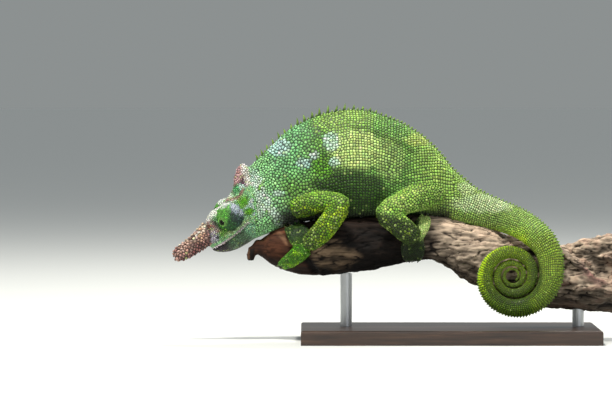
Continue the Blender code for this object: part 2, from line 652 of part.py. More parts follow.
def ridge(rings):
    """Places, outward directions and headless directions along the top of a row of sections."""
    places = np.array([ring[0] for ring in rings])
    centres = np.array([np.mean(ring, axis=0) for ring in rings])
    alongs = unit(np.gradient(places, axis=0))
    ups = unit(places - centres)
    ups = unit(ups - np.sum(ups * alongs, axis=1)[:, None] * alongs)
    return places, ups, alongs


def clear_scene():
    """Removes whatever the scene holds."""
    for thing in list(bpy.data.objects):
        bpy.data.objects.remove(thing)


def build_trunk(skin):
    """Torso with its crest, and the neck between it and the head."""
    xs = np.linspace(TRUNK_X[0], TRUNK_X[-1], int((TRUNK_X[-1] - TRUNK_X[0]) / TRUNK_STEP) + 1)
    rings = [trunk_ring(x) for x in xs]
    torso = loft("torso", rings)
    places, ups, alongs = ridge(rings)
    last = lengths(places)[-1] - 2.0
    combine(torso, spines(2.5, last, CREST_SPACING, places, ups, alongs, NECK_LONG), "UNION")
    finish(torso, skin)
    nape = from_head(skull_ring(1.0, full=True))
    chest = trunk_ring(TRUNK_X[0])
    reach = np.linalg.norm(chest.mean(axis=0) - nape.mean(axis=0))
    steps = np.linspace(GAP / reach, 1 - GAP / reach, 6)
    rings = [nape * (1 - t) + chest * t for t in steps]
    neck = loft("neck", rings)
    places, ups, alongs = ridge(rings)
    last = lengths(places)[-1] - 2.0
    combine(neck, spines(NAPE_BARE, last, CREST_SPACING, places, ups, alongs, 0.0), "UNION")
    finish(neck, skin)


def build_tail(skin, tail_skin):
    """The tail in lengths, each closed, with a low crest along its outer edge."""
    cuts = (("tail_base", 0.0, 27.0, 4.2, 16),
            ("tail_middle", 27.0, COIL_STARTS, 4.2, 14),
            ("tail_coil_front", COIL_STARTS, 92.0, 4.2, 12),
            ("tail_coil_under", 92.0, 128.0, 4.2, 12),
            ("tail_coil_back", 128.0, TAIL_CREST_ENDS, 3.6, 12),
            ("tail_coil_inner_lower", TAIL_CREST_ENDS, 196.0, 2.9, 10),
            ("tail_coil_inner_upper", 196.0, 222.0, 2.4, 8),
            ("tail_tip", 222.0, math.inf, 1.5, 6))
    for name, start, end, step, sides in cuts:
        rings = tail_rings(start + GAP, end, step, sides)
        piece = loft(name, rings, (0.0, 0.5 if name == "tail_tip" else 0.0))
        if start < TAIL_CREST_ENDS:
            places, ups, alongs = ridge(rings)
            last = lengths(places)[-1] - 1.4
            row = spines(1.6, last, TAIL_CREST_SPACING, places, ups, alongs, BODY_LONG + start)
            combine(piece, row, "UNION")
        finish(piece, skin if start < COIL_STARTS else tail_skin)


def build_head(skin, lid_skin, horn_skin, eye_surface):
    """Skull, jaw, turrets, eyes and horns."""
    head = skull("head")
    cutters = [turret("cut", side, GAP, True) for side in (-1, 1)]
    cutters += [nostril(side) for side in (-1, 1)]
    combine(head, cutters, "DIFFERENCE")
    finish(head, skin)
    jaw_rings = [from_head(jaw_ring(t)) for t in np.linspace(0.0, 1.0, HEAD_STEPS - 4)]
    finish(loft("jaw", jaw_rings, (0.3, 0.0)), skin)
    for word, side in (("left", -1), ("right", 1)):
        finish(turret(f"eye_turret_{word}", side), lid_skin)
        finish(eye(f"eye_{word}", side), eye_surface)
        blade = horn(f"horn_{word}", side)
        combine(blade, [skull("cut", GAP)], "DIFFERENCE")
        finish(blade, horn_skin, 20.0)


def build_limbs(skin):
    """Four limbs, each in two lengths and two bundles of toes that grip the branch."""
    limbs = (("arm", UPPER_ARM, UPPER_ARM_R, FOREARM, FOREARM_R, HAND_DOWN, 2, HAND_UP, 3, FAR_ARM_BACK),
             ("leg", THIGH, THIGH_R, SHIN, SHIN_R, FOOT_DOWN, 3, FOOT_UP, 2, FAR_LEG_BACK))
    body = [trunk_ring(x, GAP) for x in np.linspace(TRUNK_X[0], TRUNK_X[-1], 24)]
    for kind, upper, upper_r, lower, lower_r, down, down_toes, up, up_toes, far_back in limbs:
        names = ("upper_arm", "forearm", "hand") if kind == "arm" else ("thigh", "shin", "foot")
        for word, side, back in (("left", 1, 0.0), ("right", -1, far_back)):
            first = limb(f"{names[0]}_{word}", upper, upper_r, side, back)
            combine(first, [loft("cut", body)], "DIFFERENCE")
            second = limb(f"{names[1]}_{word}", lower, lower_r, side, back)
            tools = [limb("cut", upper, upper_r, side, back, GAP), loft("cut", body), branch("cut", GAP)]
            combine(second, tools, "DIFFERENCE")
            outer = palm(f"{names[2]}_{word}_lower_toes", down, side, back)
            combine(outer, bundle("toes", down, down_toes, side, back), "UNION")
            tools = [limb("cut", lower, lower_r, side, back, GAP), branch("cut", GAP)]
            combine(outer, tools, "DIFFERENCE")
            inner = palm(f"{names[2]}_{word}_upper_toes", up, side, back)
            combine(inner, bundle("toes", up, up_toes, side, back), "UNION")
            tools = [limb("cut", lower, lower_r, side, back, GAP), branch("cut", GAP)]
            tools += bundle("cut", down, down_toes, side, back, GAP)
            tools += [palm("cut", down, side, back, GAP)]
            combine(inner, tools, "DIFFERENCE")
            for piece in (first, second, outer, inner):
                finish(piece, skin)


def build_perch(bark, metal, board):
    """The cut branch with its knot and hollow end, and the stand below it."""
    perch = branch("branch")
    across = np.array((0.0, 1.0, 0.0))
    grown = []
    for route, sizes, rings, sides, ends in ((SPUR, SPUR_R, 6, 8, (0.5, 0.6)),
                                             (KNOT, KNOT_R, 6, 12, (1.0, 0.0)),
                                             (SPLINTER, SPLINTER_R, 4, 6, (1.0, 1.0))):
        line, (radii,) = even(route, [sizes], rings)
        grown.append(tube("grown", line, radii, sides, across, ends))
    combine(perch, grown, "UNION")
    line, (radii,) = even(HOLLOW, [HOLLOW_R], 5)
    combine(perch, [tube("hollow", line, radii, 10, across, (2.5, 3.0))], "DIFFERENCE")
    finish(perch, bark)
    base = box("stand_base", BASE_LONG, BASE_DEEP, BASE_TALL)
    finish(base, board, 30.0)
    for word, x in zip(("left", "right"), ROD_X):
        under = float(branch_ring(x, 0.0, -math.pi / 2)[2])
        low, high = BASE_TALL + GAP, under + ROD_SINK
        line = np.array([(x, 0.0, z) for z in (low, 0.5 * (low + high), high)])
        rod = tube(f"stand_rod_{word}", line, np.full(3, ROD_R), 16, np.array((0.0, 1.0, 0.0)), (0.0, 0.0))
        combine(rod, [branch("cut", GAP)], "DIFFERENCE")
        finish(rod, metal)


def box(name, long, deep, tall):
    """A flat board standing on the ground, with its upper edges bevelled."""
    x, y = 0.5 * long, 0.5 * deep
    corners = [(a * x, b * y, c) for c in (0.0, tall) for a, b in ((-1, -1), (1, -1), (1, 1), (-1, 1))]
    faces = [(0, 1, 2, 3), (4, 5, 6, 7), (0, 1, 5, 4), (1, 2, 6, 5), (2, 3, 7, 6), (3, 0, 4, 7)]
    mesh = bpy.data.meshes.new(name)
    mesh.from_pydata([tuple(c * MM for c in corner) for corner in corners], [], faces)
    work = bmesh.new()
    work.from_mesh(mesh)
    bmesh.ops.recalc_face_normals(work, faces=work.faces[:])
    upper = [e for e in work.edges if all(v.co.z > 0.5 * tall * MM for v in e.verts)]
    bmesh.ops.bevel(work, geom=upper, offset=BASE_BEVEL * MM, segments=2, affect="EDGES", profile=0.5)
    work.to_mesh(mesh)
    work.free()
    made = bpy.data.objects.new(name, mesh)
    bpy.context.scene.collection.objects.link(made)
    return made


clear_scene()
green_skin = material("green_skin", (0.16, 0.36, 0.06), 0.55)
tail_skin = material("tail_skin", (0.24, 0.42, 0.03), 0.5)
head_skin = material("head_skin", (0.22, 0.42, 0.26), 0.55)
turret_skin = material("turret_skin", (0.1, 0.3, 0.1), 0.5)
horn_plates = material("horn_plates", (0.5, 0.28, 0.22), 0.6)
eye_gloss = material("eye_gloss", (0.01, 0.01, 0.01), 0.1)
branch_bark = material("branch_bark", (0.2, 0.11, 0.07), 0.7)
rod_metal = material("rod_metal", (0.3, 0.3, 0.3), 0.35, 1.0)
base_board = material("base_board", (0.03, 0.03, 0.03), 0.4)
build_trunk(green_skin)
build_tail(green_skin, tail_skin)
build_head(head_skin, turret_skin, horn_plates, eye_gloss)
build_limbs(green_skin)
build_perch(branch_bark, rod_metal, base_board)
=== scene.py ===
import math

import bmesh
import bpy
import numpy as np
from mathutils import Matrix, Vector, kdtree, noise
from mathutils.bvhtree import BVHTree


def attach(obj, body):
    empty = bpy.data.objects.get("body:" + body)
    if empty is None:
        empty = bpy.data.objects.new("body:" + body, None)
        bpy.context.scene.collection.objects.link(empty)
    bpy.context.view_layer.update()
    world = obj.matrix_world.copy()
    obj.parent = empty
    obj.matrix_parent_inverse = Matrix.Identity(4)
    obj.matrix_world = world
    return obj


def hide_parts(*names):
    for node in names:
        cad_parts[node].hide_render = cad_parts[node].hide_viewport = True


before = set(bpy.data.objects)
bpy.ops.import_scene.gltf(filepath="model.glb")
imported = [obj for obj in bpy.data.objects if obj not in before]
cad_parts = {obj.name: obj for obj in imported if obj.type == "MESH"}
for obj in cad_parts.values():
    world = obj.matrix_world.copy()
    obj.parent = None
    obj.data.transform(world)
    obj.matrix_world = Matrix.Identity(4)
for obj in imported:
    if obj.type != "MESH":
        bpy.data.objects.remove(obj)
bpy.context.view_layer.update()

# The view. A long lens stands level with the animal's chest on its left side, as the portrait was
# taken, with a pale floor and soft light round the stand.
MM = 0.001
PICTURE_WIDE = 612
PICTURE_TALL = 408
PIXEL = 0.55
ORIGIN_PIXEL = (450, 342)
CAMERA_FAR = 2400.0
CAMERA_UP = 1.5
ANIMAL_PLANE = -8.0

aim = np.array(((0.5 * PICTURE_WIDE - ORIGIN_PIXEL[0]) * PIXEL, ANIMAL_PLANE,
                (ORIGIN_PIXEL[1] - 0.5 * PICTURE_TALL) * PIXEL))
rise = math.radians(CAMERA_UP)
stand_point = aim + CAMERA_FAR * np.array((0.0, -math.cos(rise), math.sin(rise)))
bpy.ops.object.camera_add(location=stand_point * MM, rotation=(0.5 * math.pi - rise, 0.0, 0.0))
camera = bpy.context.object
camera.name = "portrait_camera"
camera.data.sensor_width = 36.0
camera.data.lens = camera.data.sensor_width * CAMERA_FAR / (PICTURE_WIDE * PIXEL)
camera.data.clip_end = 100.0
bpy.context.scene.camera = camera
bpy.context.scene.view_settings.view_transform = "Standard"


def node(tree, kind, inputs=(), **settings):
    """Adds a shader node. An input's value is a number or colour, or a socket that feeds it."""
    made = tree.nodes.new(kind)
    for key, value in settings.items():
        setattr(made, key, value)
    for key, value in dict(inputs).items():
        if isinstance(value, bpy.types.NodeSocket):
            tree.links.new(value, made.inputs[key])
        else:
            made.inputs[key].default_value = value
    return made


def finish_of(name, colour, roughness, metallic=0.0, coat=0.0):
    """A new material with its tree and its shader."""
    made = bpy.data.materials.new(name)
    made.use_nodes = True
    shader = made.node_tree.nodes["Principled BSDF"]
    shader.inputs["Base Color"].default_value = (*colour, 1.0)
    shader.inputs["Roughness"].default_value = roughness
    shader.inputs["Metallic"].default_value = metallic
    shader.inputs["Coat Weight"].default_value = coat
    return made, made.node_tree, shader


def srgb(r, g, b):
    """A colour as seen, each part from 0 to 255, turned into light."""
    part = np.array((r, g, b), float) / 255.0
    return np.where(part <= 0.04045, part / 12.92, ((part + 0.055) / 1.055) ** 2.4)


def ramp(tree, factor, stops):
    """Colours read along a factor from 0 to 1."""
    made = node(tree, "ShaderNodeValToRGB", {"Fac": factor})
    made.color_ramp.elements.remove(made.color_ramp.elements[1])
    for k, (at, colour) in enumerate(stops):
        stop = made.color_ramp.elements[0] if k == 0 else made.color_ramp.elements.new(at)
        stop.position = at
        stop.color = (*srgb(*colour), 1.0)
    return made.outputs["Color"]


FLOOR_WIDE = 60.0
floor_finish, tree, shader = finish_of("pale_floor", srgb(216, 218, 216), 0.9)
bpy.ops.mesh.primitive_plane_add(size=FLOOR_WIDE, location=(0.0, 0.0, 0.0))
floor = bpy.context.object
floor.name = "studio_floor"
floor.data.materials.append(floor_finish)

world = bpy.data.worlds.new("studio_air")
world.use_nodes = True
bpy.context.scene.world = world
air = world.node_tree
way = node(air, "ShaderNodeTexCoord")
high = node(air, "ShaderNodeSeparateXYZ", {"Vector": way.outputs["Generated"]})
SKY = ((0.0, (192, 198, 198)), (0.08, (192, 198, 198)), (0.3, (222, 228, 230)))
sky = ramp(air, high.outputs["Z"], SKY)
air.links.new(sky, air.nodes["Background"].inputs["Color"])
air.nodes["Background"].inputs["Strength"].default_value = 0.5

# Lamps: place in metres, power, size and the colour of the light
LAMPS = (("key_lamp", (-0.3, -0.62, 1.45), 31.0, 0.3, (255, 251, 242)),
         ("fill_lamp", (0.9, -1.6, 0.5), 2.6, 0.9, (240, 246, 255)),
         ("back_lamp", (0.4, 0.7, 1.2), 12.0, 0.4, (255, 252, 245)))
for name, place, power, wide, colour in LAMPS:
    look = Vector(aim * MM) - Vector(place)
    bpy.ops.object.light_add(type="AREA", location=place, rotation=look.to_track_quat("-Z", "Y").to_euler())
    lamp = bpy.context.object
    lamp.name = name
    lamp.data.energy = power
    lamp.data.size = wide
    lamp.data.color = tuple(srgb(*colour))

# The stand. A board of dark stained hardwood with bevelled edges carries two rods of brushed steel
# that are let into the underside of the branch.
GRAIN = bpy.data.node_groups.new("surface_grain", "ShaderNodeTree")
SOCKETS = (("Size", "INPUT", "Float"), ("Stretch", "INPUT", "Vector"), ("Fine", "OUTPUT", "Float"),
           ("Broad", "OUTPUT", "Float"))
for name, way, kind in SOCKETS:
    GRAIN.interface.new_socket(name, in_out=way, socket_type=f"NodeSocket{kind}")
taken = node(GRAIN, "NodeGroupInput")
place = node(GRAIN, "ShaderNodeTexCoord")
drawn = node(GRAIN, "ShaderNodeMapping", {"Vector": place.outputs["Object"],
                                          "Scale": taken.outputs["Stretch"]})
fine = node(GRAIN, "ShaderNodeTexNoise", {"Vector": drawn.outputs["Vector"], "Scale": taken.outputs["Size"],
                                          "Detail": 6.0, "Roughness": 0.62})
slow = node(GRAIN, "ShaderNodeMath", {0: taken.outputs["Size"], 1: 0.22}, operation="MULTIPLY")
broad = node(GRAIN, "ShaderNodeTexNoise", {"Vector": drawn.outputs["Vector"], "Scale": slow.outputs[0],
                                           "Detail": 3.0, "Roughness": 0.5})
node(GRAIN, "NodeGroupOutput", {"Fine": fine.outputs["Fac"], "Broad": broad.outputs["Fac"]})


def grain_of(tree, size, stretch):
    """Places the shared grain in a material."""
    made = node(tree, "ShaderNodeGroup")
    made.node_tree = GRAIN
    made.inputs["Size"].default_value = size
    made.inputs["Stretch"].default_value = stretch
    return made.outputs["Fine"], made.outputs["Broad"]


def relief(tree, shader, height, strength, deep):
    """Fine relief on a surface, its depth in millimetres."""
    bump = node(tree, "ShaderNodeBump", {"Height": height, "Strength": strength, "Distance": deep * MM})
    tree.links.new(bump.outputs["Normal"], shader.inputs["Normal"])


board_finish, tree, shader = finish_of("stained_board", srgb(52, 36, 28), 0.38, coat=0.25)
fine, broad = grain_of(tree, 90.0, (0.35, 6.0, 6.0))
tree.links.new(ramp(tree, fine, ((0.3, (30, 20, 16)), (0.55, (58, 40, 30)), (0.75, (84, 60, 44)))),
               shader.inputs["Base Color"])
satin = node(tree, "ShaderNodeMapRange", {"Value": broad, "To Min": 0.3, "To Max": 0.52})
tree.links.new(satin.outputs["Result"], shader.inputs["Roughness"])
relief(tree, shader, fine, 0.35, 0.25)

rod_finish, tree, shader = finish_of("brushed_rod", srgb(176, 178, 180), 0.32, metallic=1.0)
fine, broad = grain_of(tree, 160.0, (1.0, 1.0, 14.0))
brushed = node(tree, "ShaderNodeMapRange", {"Value": fine, "To Min": 0.22, "To Max": 0.5})
tree.links.new(brushed.outputs["Result"], shader.inputs["Roughness"])
relief(tree, shader, fine, 0.15, 0.1)
for name, finish in (("stand_base", board_finish), ("stand_rod_left", rod_finish),
                     ("stand_rod_right", rod_finish)):
    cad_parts[name].data.materials.clear()
    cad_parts[name].data.materials.append(finish)

# The perch. A cut length of dead branch has lost most of its bark: smooth reddish wood at its left
# end, dark cracked bark in the middle, and a craggy torn knot with a hollow under it at the right.
# Its colours also carry painted highlights on ridges and lit edges, and painted shade in grooves,
# cracks, the dark middle and underneath.
BRANCH_VOXEL = 0.62
BRANCH_SOFTEN = 4
WELD = 0.004
PORES = 0.35
RELIEF_LIMITS = (-2.1, 1.1)
BELLY_SEAT = 1.5
TIP_RISE = 2.0


def welded(nodes, grow):
    """Copies of CAD nodes in one mesh, each welded, and grown outwards by some millimetres."""
    work = bmesh.new()
    for name in nodes:
        single = bmesh.new()
        single.from_mesh(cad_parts[name].data)
        bmesh.ops.remove_doubles(single, verts=single.verts, dist=WELD * MM)
        bmesh.ops.recalc_face_normals(single, faces=single.faces)
        single.normal_update()
        moves = [vert.normal * grow * MM for vert in single.verts]
        for vert, move in zip(single.verts, moves):
            vert.co += move
        part = bpy.data.meshes.new("part")
        single.to_mesh(part)
        single.free()
        work.from_mesh(part)
        bpy.data.meshes.remove(part)
    mesh = bpy.data.meshes.new("welded")
    work.to_mesh(mesh)
    work.free()
    return mesh


def remeshed(name, mesh, voxel, soften):
    """One closed, even surface round everything in a mesh, a little softened."""
    made = bpy.data.objects.new(name, mesh)
    bpy.context.scene.collection.objects.link(made)
    bpy.ops.object.select_all(action="DESELECT")
    made.select_set(True)
    bpy.context.view_layer.objects.active = made
    change = made.modifiers.new("even", "REMESH")
    change.mode = "VOXEL"
    change.voxel_size = voxel * MM
    bpy.ops.object.modifier_apply(modifier=change.name)
    change = made.modifiers.new("soften", "SMOOTH")
    change.factor = 0.5
    change.iterations = soften
    bpy.ops.object.modifier_apply(modifier=change.name)
    return made


def arrays_of(mesh):
    """Places and outward directions of a mesh's corners, in millimetres."""
    places = np.empty(3 * len(mesh.vertices), np.float32)
    mesh.vertices.foreach_get("co", places)
    normals = np.empty(3 * len(mesh.vertices), np.float32)
    mesh.vertices.foreach_get("normal", normals)
    return places.reshape(-1, 3).astype(float) / MM, normals.reshape(-1, 3).astype(float)


def put_places(mesh, places):
    """Moves a mesh's corners to new places in millimetres."""
    mesh.vertices.foreach_set("co", (places * MM).astype(np.float32).ravel())
    mesh.update()


def put_paint(mesh, colours):
    """A colour for each corner of a mesh."""
    layer = mesh.color_attributes.new("Paint", "FLOAT_COLOR", "POINT")
    full = np.concatenate([colours, np.ones((len(colours), 1))], axis=1)
    layer.data.foreach_set("color", full.astype(np.float32).ravel())


def noise_at(places, wave, seed=0.0):
    """Smooth noise from -1 to 1 at places, with a wave length in millimetres along each axis."""
    scaled = places / np.array(wave, float) + seed
    return np.array([noise.noise(p) for p in scaled.tolist()])


def rough_at(places, wave, seed=0.0, octaves=4):
    """Noise with finer and finer detail."""
    total = np.zeros(len(places))
    for k in range(octaves):
        total += noise_at(places, np.array(wave, float) / 2**k, seed + 7.3 * k) / 2**k
    return total


def step(low, high, x):
    """Eases from 0 at low to 1 at high."""
    t = np.clip((x - low) / (high - low), 0.0, 1.0)
    return t * t * (3 - 2 * t)


def mix(a, b, t):
    """Colours part of the way from a to b."""
    t = np.asarray(t, float)[..., None]
    return a * (1 - t) + b * t


def layered(colour, layers):
    """Colours laid over one another in turn, each with its share at every place."""
    for share, tone in layers:
        colour = mix(colour, srgb(*tone), share)
    return colour


def painted(name, roughness, size, stretch, shades, strength, deep):
    """A material that takes its markings from the mesh and adds fine mottling, sheen and relief."""
    made, tree, shader = finish_of(name, srgb(128, 128, 128), 0.5)
    paint = node(tree, "ShaderNodeAttribute", attribute_name="Paint")
    fine, broad = grain_of(tree, size, stretch)
    shade = ramp(tree, fine, shades)
    tint = node(tree, "ShaderNodeMix", {"Factor": 1.0, "A": paint.outputs["Color"], "B": shade},
                data_type="RGBA", blend_type="MULTIPLY")
    tree.links.new(tint.outputs["Result"], shader.inputs["Base Color"])
    sheen = node(tree, "ShaderNodeMapRange", {"Value": broad, "From Min": 0.3, "From Max": 0.7,
                                              "To Min": roughness[0], "To Max": roughness[1]})
    tree.links.new(sheen.outputs["Result"], shader.inputs["Roughness"])
    relief(tree, shader, fine, strength, deep)
    return made, shader


perch = remeshed("branch_wood", welded(["branch"], 0.0), BRANCH_VOXEL, BRANCH_SOFTEN)
places, normals = arrays_of(perch.data)
x, y, z = places.T
cut_end = step(93.8, 92.0, x)
craggy = step(-14.0, 30.0, x)
edge = 3.0 * noise_at(places, (6.0, 6.0, 6.0), 2.2)
smooth_left = step(-73.0, -77.0, x + 0.55 * (z - 42.0) + 0.6 * edge)
grain = rough_at(places, (26.0, 2.6, 2.6), 3.1)
ridged = 1.0 - 2.0 * np.abs(rough_at(places, (17.0, 5.0, 5.0), 11.7))
lumps = rough_at(places, (7.0, 5.0, 4.5), 23.9)
pits = rough_at(places, (3.4, 2.4, 2.2), 41.0, 2)
cracks = step(0.07, 0.0, np.abs(noise_at(places, (15.0, 3.4, 3.4), 31.0)))
along = np.clip(((x + 80.0) * 6.5 - (z - 47.0) * 9.5) / (6.5**2 + 9.5**2), 0.0, 1.0)
cleft = np.hypot(x + 80.0 - 6.5 * along, z - 47.0 + 9.5 * along) + 0.2 * edge
cleft = step(2.4, 0.7, cleft) * step(0.0, -4.0, y)
deep = 0.25 * grain + (0.6 * lumps + 0.35 * ridged + 0.3 * pits) * (1 - smooth_left)
deep = deep + craggy * (0.8 * lumps + 0.45 * ridged + 0.25 * pits) - 0.9 * cracks * (1 - 0.9 * smooth_left)
deep = np.clip(deep - 1.5 * cleft, *RELIEF_LIMITS) - PORES
under_belly = step(0.45, 0.9, normals[:, 2]) * step(-100.0, -88.0, x) * step(34.0, 22.0, x)
deep = deep + under_belly * (BELLY_SEAT - 0.5 * np.clip(deep, 0.0, 1.0))
rise = TIP_RISE * step(0.1, 0.6, normals[:, 2]) * step(-109.5, -106.5, x) * step(-86.0, -96.0, x)
put_places(perch.data, places + normals * (deep * cut_end)[:, None] + np.outer(rise, (0.0, 0.0, 1.0)))

# Raised wood is painted paler and hollows darker: partly wear, partly painted highlight on the ridges and
# painted shade in the grooves.
wear_and_ridge_light = np.clip(0.5 + 0.34 * deep + 0.25 * grain, 0.0, 1.0)
lit = step(-0.2, 0.8, normals[:, 2])
red_wood = mix(srgb(46, 25, 17), srgb(112, 70, 48), wear_and_ridge_light)
# The middle bark is painted very dark: partly its own dark colour, partly painted shade under the animal.
dark_bark_and_shade = mix(srgb(6, 4, 3), srgb(52, 38, 30), wear_and_ridge_light**1.6)
tan_bark = mix(srgb(18, 11, 8), srgb(214, 182, 148), wear_and_ridge_light**1.6)
torn_wood = mix(srgb(30, 17, 13), srgb(255, 232, 206), wear_and_ridge_light**1.1)
colour = mix(dark_bark_and_shade, red_wood, smooth_left)
crag = np.hypot((x + 64.0) / 13.0, (z - 46.5) / 8.5) + 0.12 * edge
colour = mix(colour, tan_bark, 0.9 * step(1.15, 0.8, crag) * (1 - smooth_left))
colour = mix(colour, torn_wood, step(-18.0, -6.0, x + edge))
# Painted highlight: upward, lit faces of the right part painted pale.
lit_edge_highlight = step(0.3, 0.9, wear_and_ridge_light) * lit * step(-30.0, -4.0, x)
# Painted highlight: a warm tan patch on the branch below the throat.
peach_highlight = np.hypot((x + 90.5) / 4.5, (z - 55.5 + 0.5 * (x + 90.5)) / 2.2) + 0.1 * edge
ember = step(0.1, 0.5, lumps) * step(10.0, 40.0, x)
colour = layered(colour, ((0.6 * lit_edge_highlight, (238, 208, 184)), (0.3 * step(1.2, 0.5, peach_highlight), (206, 158, 122)),
                          (0.3 * ember, (150, 84, 70))))
hollow = step(13.0, 6.0, np.linalg.norm((places - (84.0, -17.0, 41.0)) / (1.3, 1.0, 1.0), axis=1))
flesh = mix(srgb(40, 16, 16), srgb(186, 134, 130), np.clip(0.5 + 0.8 * grain, 0.0, 1.0))
colour = mix(colour, flesh, 0.85 * hollow * step(-12.0, -15.0, y + 3.0 * (deep < -0.4)))
# The spur at the left end: brown at its tip, painted near-black behind it as painted shade of the hole beside
# it.
stub = step(-106.6, -108.4, x) * step(52.5, 50.5, z)
colour = mix(colour, mix(srgb(24, 16, 12), srgb(96, 68, 50), step(-110.0, -110.8, x)), stub)
# Painted shade: the cleft and the cracks are painted near-black.
colour = mix(colour, srgb(14, 8, 7), np.maximum(0.9 * cleft, 0.75 * cracks * (1 - smooth_left)))
# Painted shade: faces turned downwards are painted darker.
colour = colour * (1 - 0.78 * step(0.0, -0.75, normals[:, 2]))[:, None]
ring = 2.9 * np.hypot(y + 1.5, z - 37.0) + 1.5 * noise_at(places, (9, 9, 9), 5.0)
sawn = mix(srgb(150, 112, 80), srgb(206, 170, 126), 0.5 + 0.5 * np.sin(ring))
colour = mix(colour, sawn, 1.0 - cut_end)
put_paint(perch.data, colour)

WOOD_SHADES = ((0.3, (120, 112, 108)), (0.52, (226, 224, 222)), (0.74, (255, 252, 246)))
bark_finish, shader = painted("weathered_wood", (0.62, 0.92), 520.0, (0.16, 1.0, 1.0), WOOD_SHADES, 0.9,
                              0.6)
shader.inputs["Specular IOR Level"].default_value = 0.2
perch.data.materials.clear()
perch.data.materials.append(bark_finish)
perch.data.shade_smooth()
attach(perch, "root")
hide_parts("branch")

# The skin. One thin skin is cast without a seam from the lips to the tip of the tail and out to the
# toes. It lies a little under the scales and shows between them, in the same markings but darker.
TRUNK_X = (-92.0, -84.0, -76.0, -65.0, -53.0, -45.0, -39.0, -27.0, -15.6, -5.8, 2.6)
TRUNK_TOP = (113.4, 119.2, 123.5, 126.7, 128.1, 127.6, 125.4, 121.0, 113.9, 104.8, 94.3)
TRUNK_BELLY = (62.4, 65.2, 66.4, 67.5, 67.9, 68.4, 68.8, 69.3, 69.3, 68.6, 66.4)
TRUNK_HALF = (9.6, 11.8, 13.4, 14.8, 15.4, 15.5, 15.3, 14.4, 12.7, 10.4, 8.2)
TRUNK_MIDDLE = 0.42
BACK_KEEL = 0.55
BELLY_ROUND = 0.85
TAIL_X = (2.6, 9.1, 14.9, 21.7, 28.3, 34.3, 39.9, 46.5, 50.6, 53.2, 54.6, 55.1)
TAIL_Y = (0.0, 0.0, 0.0, -0.4, -2.2, -6.0, -10.6, -15.6, -17.8, -19.0, -19.4, -19.5)
TAIL_Z = (80.35, 75.9, 73.3, 71.0, 68.9, 66.7, 64.1, 59.3, 55.0, 50.4, 45.8, 41.4)
TAIL_TALL = (13.95, 10.7, 9.9, 9.0, 8.5, 8.2, 8.0, 7.7, 7.4, 7.1, 6.9, 6.75)
TAIL_HALF = (8.2, 7.6, 7.2, 6.8, 6.5, 6.3, 6.1, 5.9, 5.7, 5.5, 5.4, 5.3)
TAIL_UPRIGHT = 13.0
TAIL_KEEL = (0.4, 0.1)
TAIL_KEEL_ENDS = 60.0
VENT_LOW = 0.16
VENT_ENDS = 12.0
COIL_CENTRE = (33.8, 36.9)
COIL_Y = -19.5
COIL_OUTER = 25.85
COIL_SHRINK = 0.0952
COIL_MIDLINE = 0.775
COIL_TALL = 0.2175
COIL_WIDE = 0.2
COIL_LOOSE = 1.1
COIL_LOOSE_FADE = 0.8
COIL_TURNS = 3.2
MOUTH_CORNER = (-111.4, -7.0, 64.8)
HEAD_PITCH = 36.2
HEAD_ROLL = 15.0
LIP_SIDE = 7.0
NAPE_LEVEL = 0.9
NAPE_OUT = 0.3
NAPE_HALF = 9.3
NAPE_MOUTH = (-3.4, -2.0)
NAPE_TOP = (-18.7, 23.8)
NAPE_CHIN = (2.4, -11.6)
SKIN_GROW = 0.25
SKIN_VOXEL = 0.72
SKIN_DEEP = 0.42
THIN_TAIL = 29.0
STUB_TAIL = 36.0


def smooth(keys, values, places):
    """Reads a curve through the given values at new places, without overshooting between them."""
    keys = np.array(keys, float)
    values = np.array(values, float)
    if keys[0] > keys[-1]:
        keys, values = keys[::-1], values[::-1]
    places = np.clip(np.asarray(places, float), keys[0], keys[-1])
    span = np.diff(keys)
    slope = np.diff(values) / span
    inner = np.zeros(len(keys))
    agree = slope[:-1] * slope[1:] > 0
    with np.errstate(divide="ignore", invalid="ignore"):
        mean = (span[1:] + 2 * span[:-1]) / slope[:-1] + (span[:-1] + 2 * span[1:]) / slope[1:]
        inner[1:-1] = np.where(agree, 3 * (span[1:] + span[:-1]) / mean, 0.0)
    inner[0], inner[-1] = slope[0], slope[-1]
    k = np.clip(np.searchsorted(keys, places) - 1, 0, len(span) - 1)
    t = (places - keys[k]) / span[k]
    h = span[k]
    rise = values[k] * (2 * t**3 - 3 * t**2 + 1) + values[k + 1] * (3 * t**2 - 2 * t**3)
    return rise + h * (inner[k] * (t**3 - 2 * t**2 + t) + inner[k + 1] * (t**3 - t**2))


def unit(v):
    """The same direction with a length of one."""
    return v / np.linalg.norm(v, axis=-1, keepdims=True)


def lengths(points):
    """Length travelled along a line of points up to each of them."""
    return np.concatenate([[0.0], np.cumsum(np.linalg.norm(np.diff(points, axis=0), axis=1))])


def section(centre, side, up, tall, low, half, turn, keel):
    """Points of a body section, turned from the ridge of the back down the left side."""
    rise = np.cos(turn)
    width = np.abs(np.sin(turn)) ** np.where(rise > 0, 1.0 + keel, BELLY_ROUND)
    across = -np.sign(np.sin(turn)) * width * half
    height = np.where(rise > 0, tall * rise, low * rise)
    return centre + across[:, None] * side + height[:, None] * up


def trunk_ring(x, turn, grow=0.0):
    """A section of the trunk, upright and square to X."""
    top = smooth(TRUNK_X, TRUNK_TOP, x) + grow
    belly = smooth(TRUNK_X, TRUNK_BELLY, x) - grow
    half = smooth(TRUNK_X, TRUNK_HALF, x) + grow
    level = belly + TRUNK_MIDDLE * (top - belly)
    keel = BACK_KEEL * smooth((TRUNK_X[0], -60.0, TRUNK_X[-1]), (0.35, 1.0, 0.3), x)
    centre = np.array((float(x), 0.0, float(level)))
    side, up = np.array((0.0, 1.0, 0.0)), np.array((0.0, 0.0, 1.0))
    return section(centre, side, up, top - level, level - belly, half, turn, float(keel))


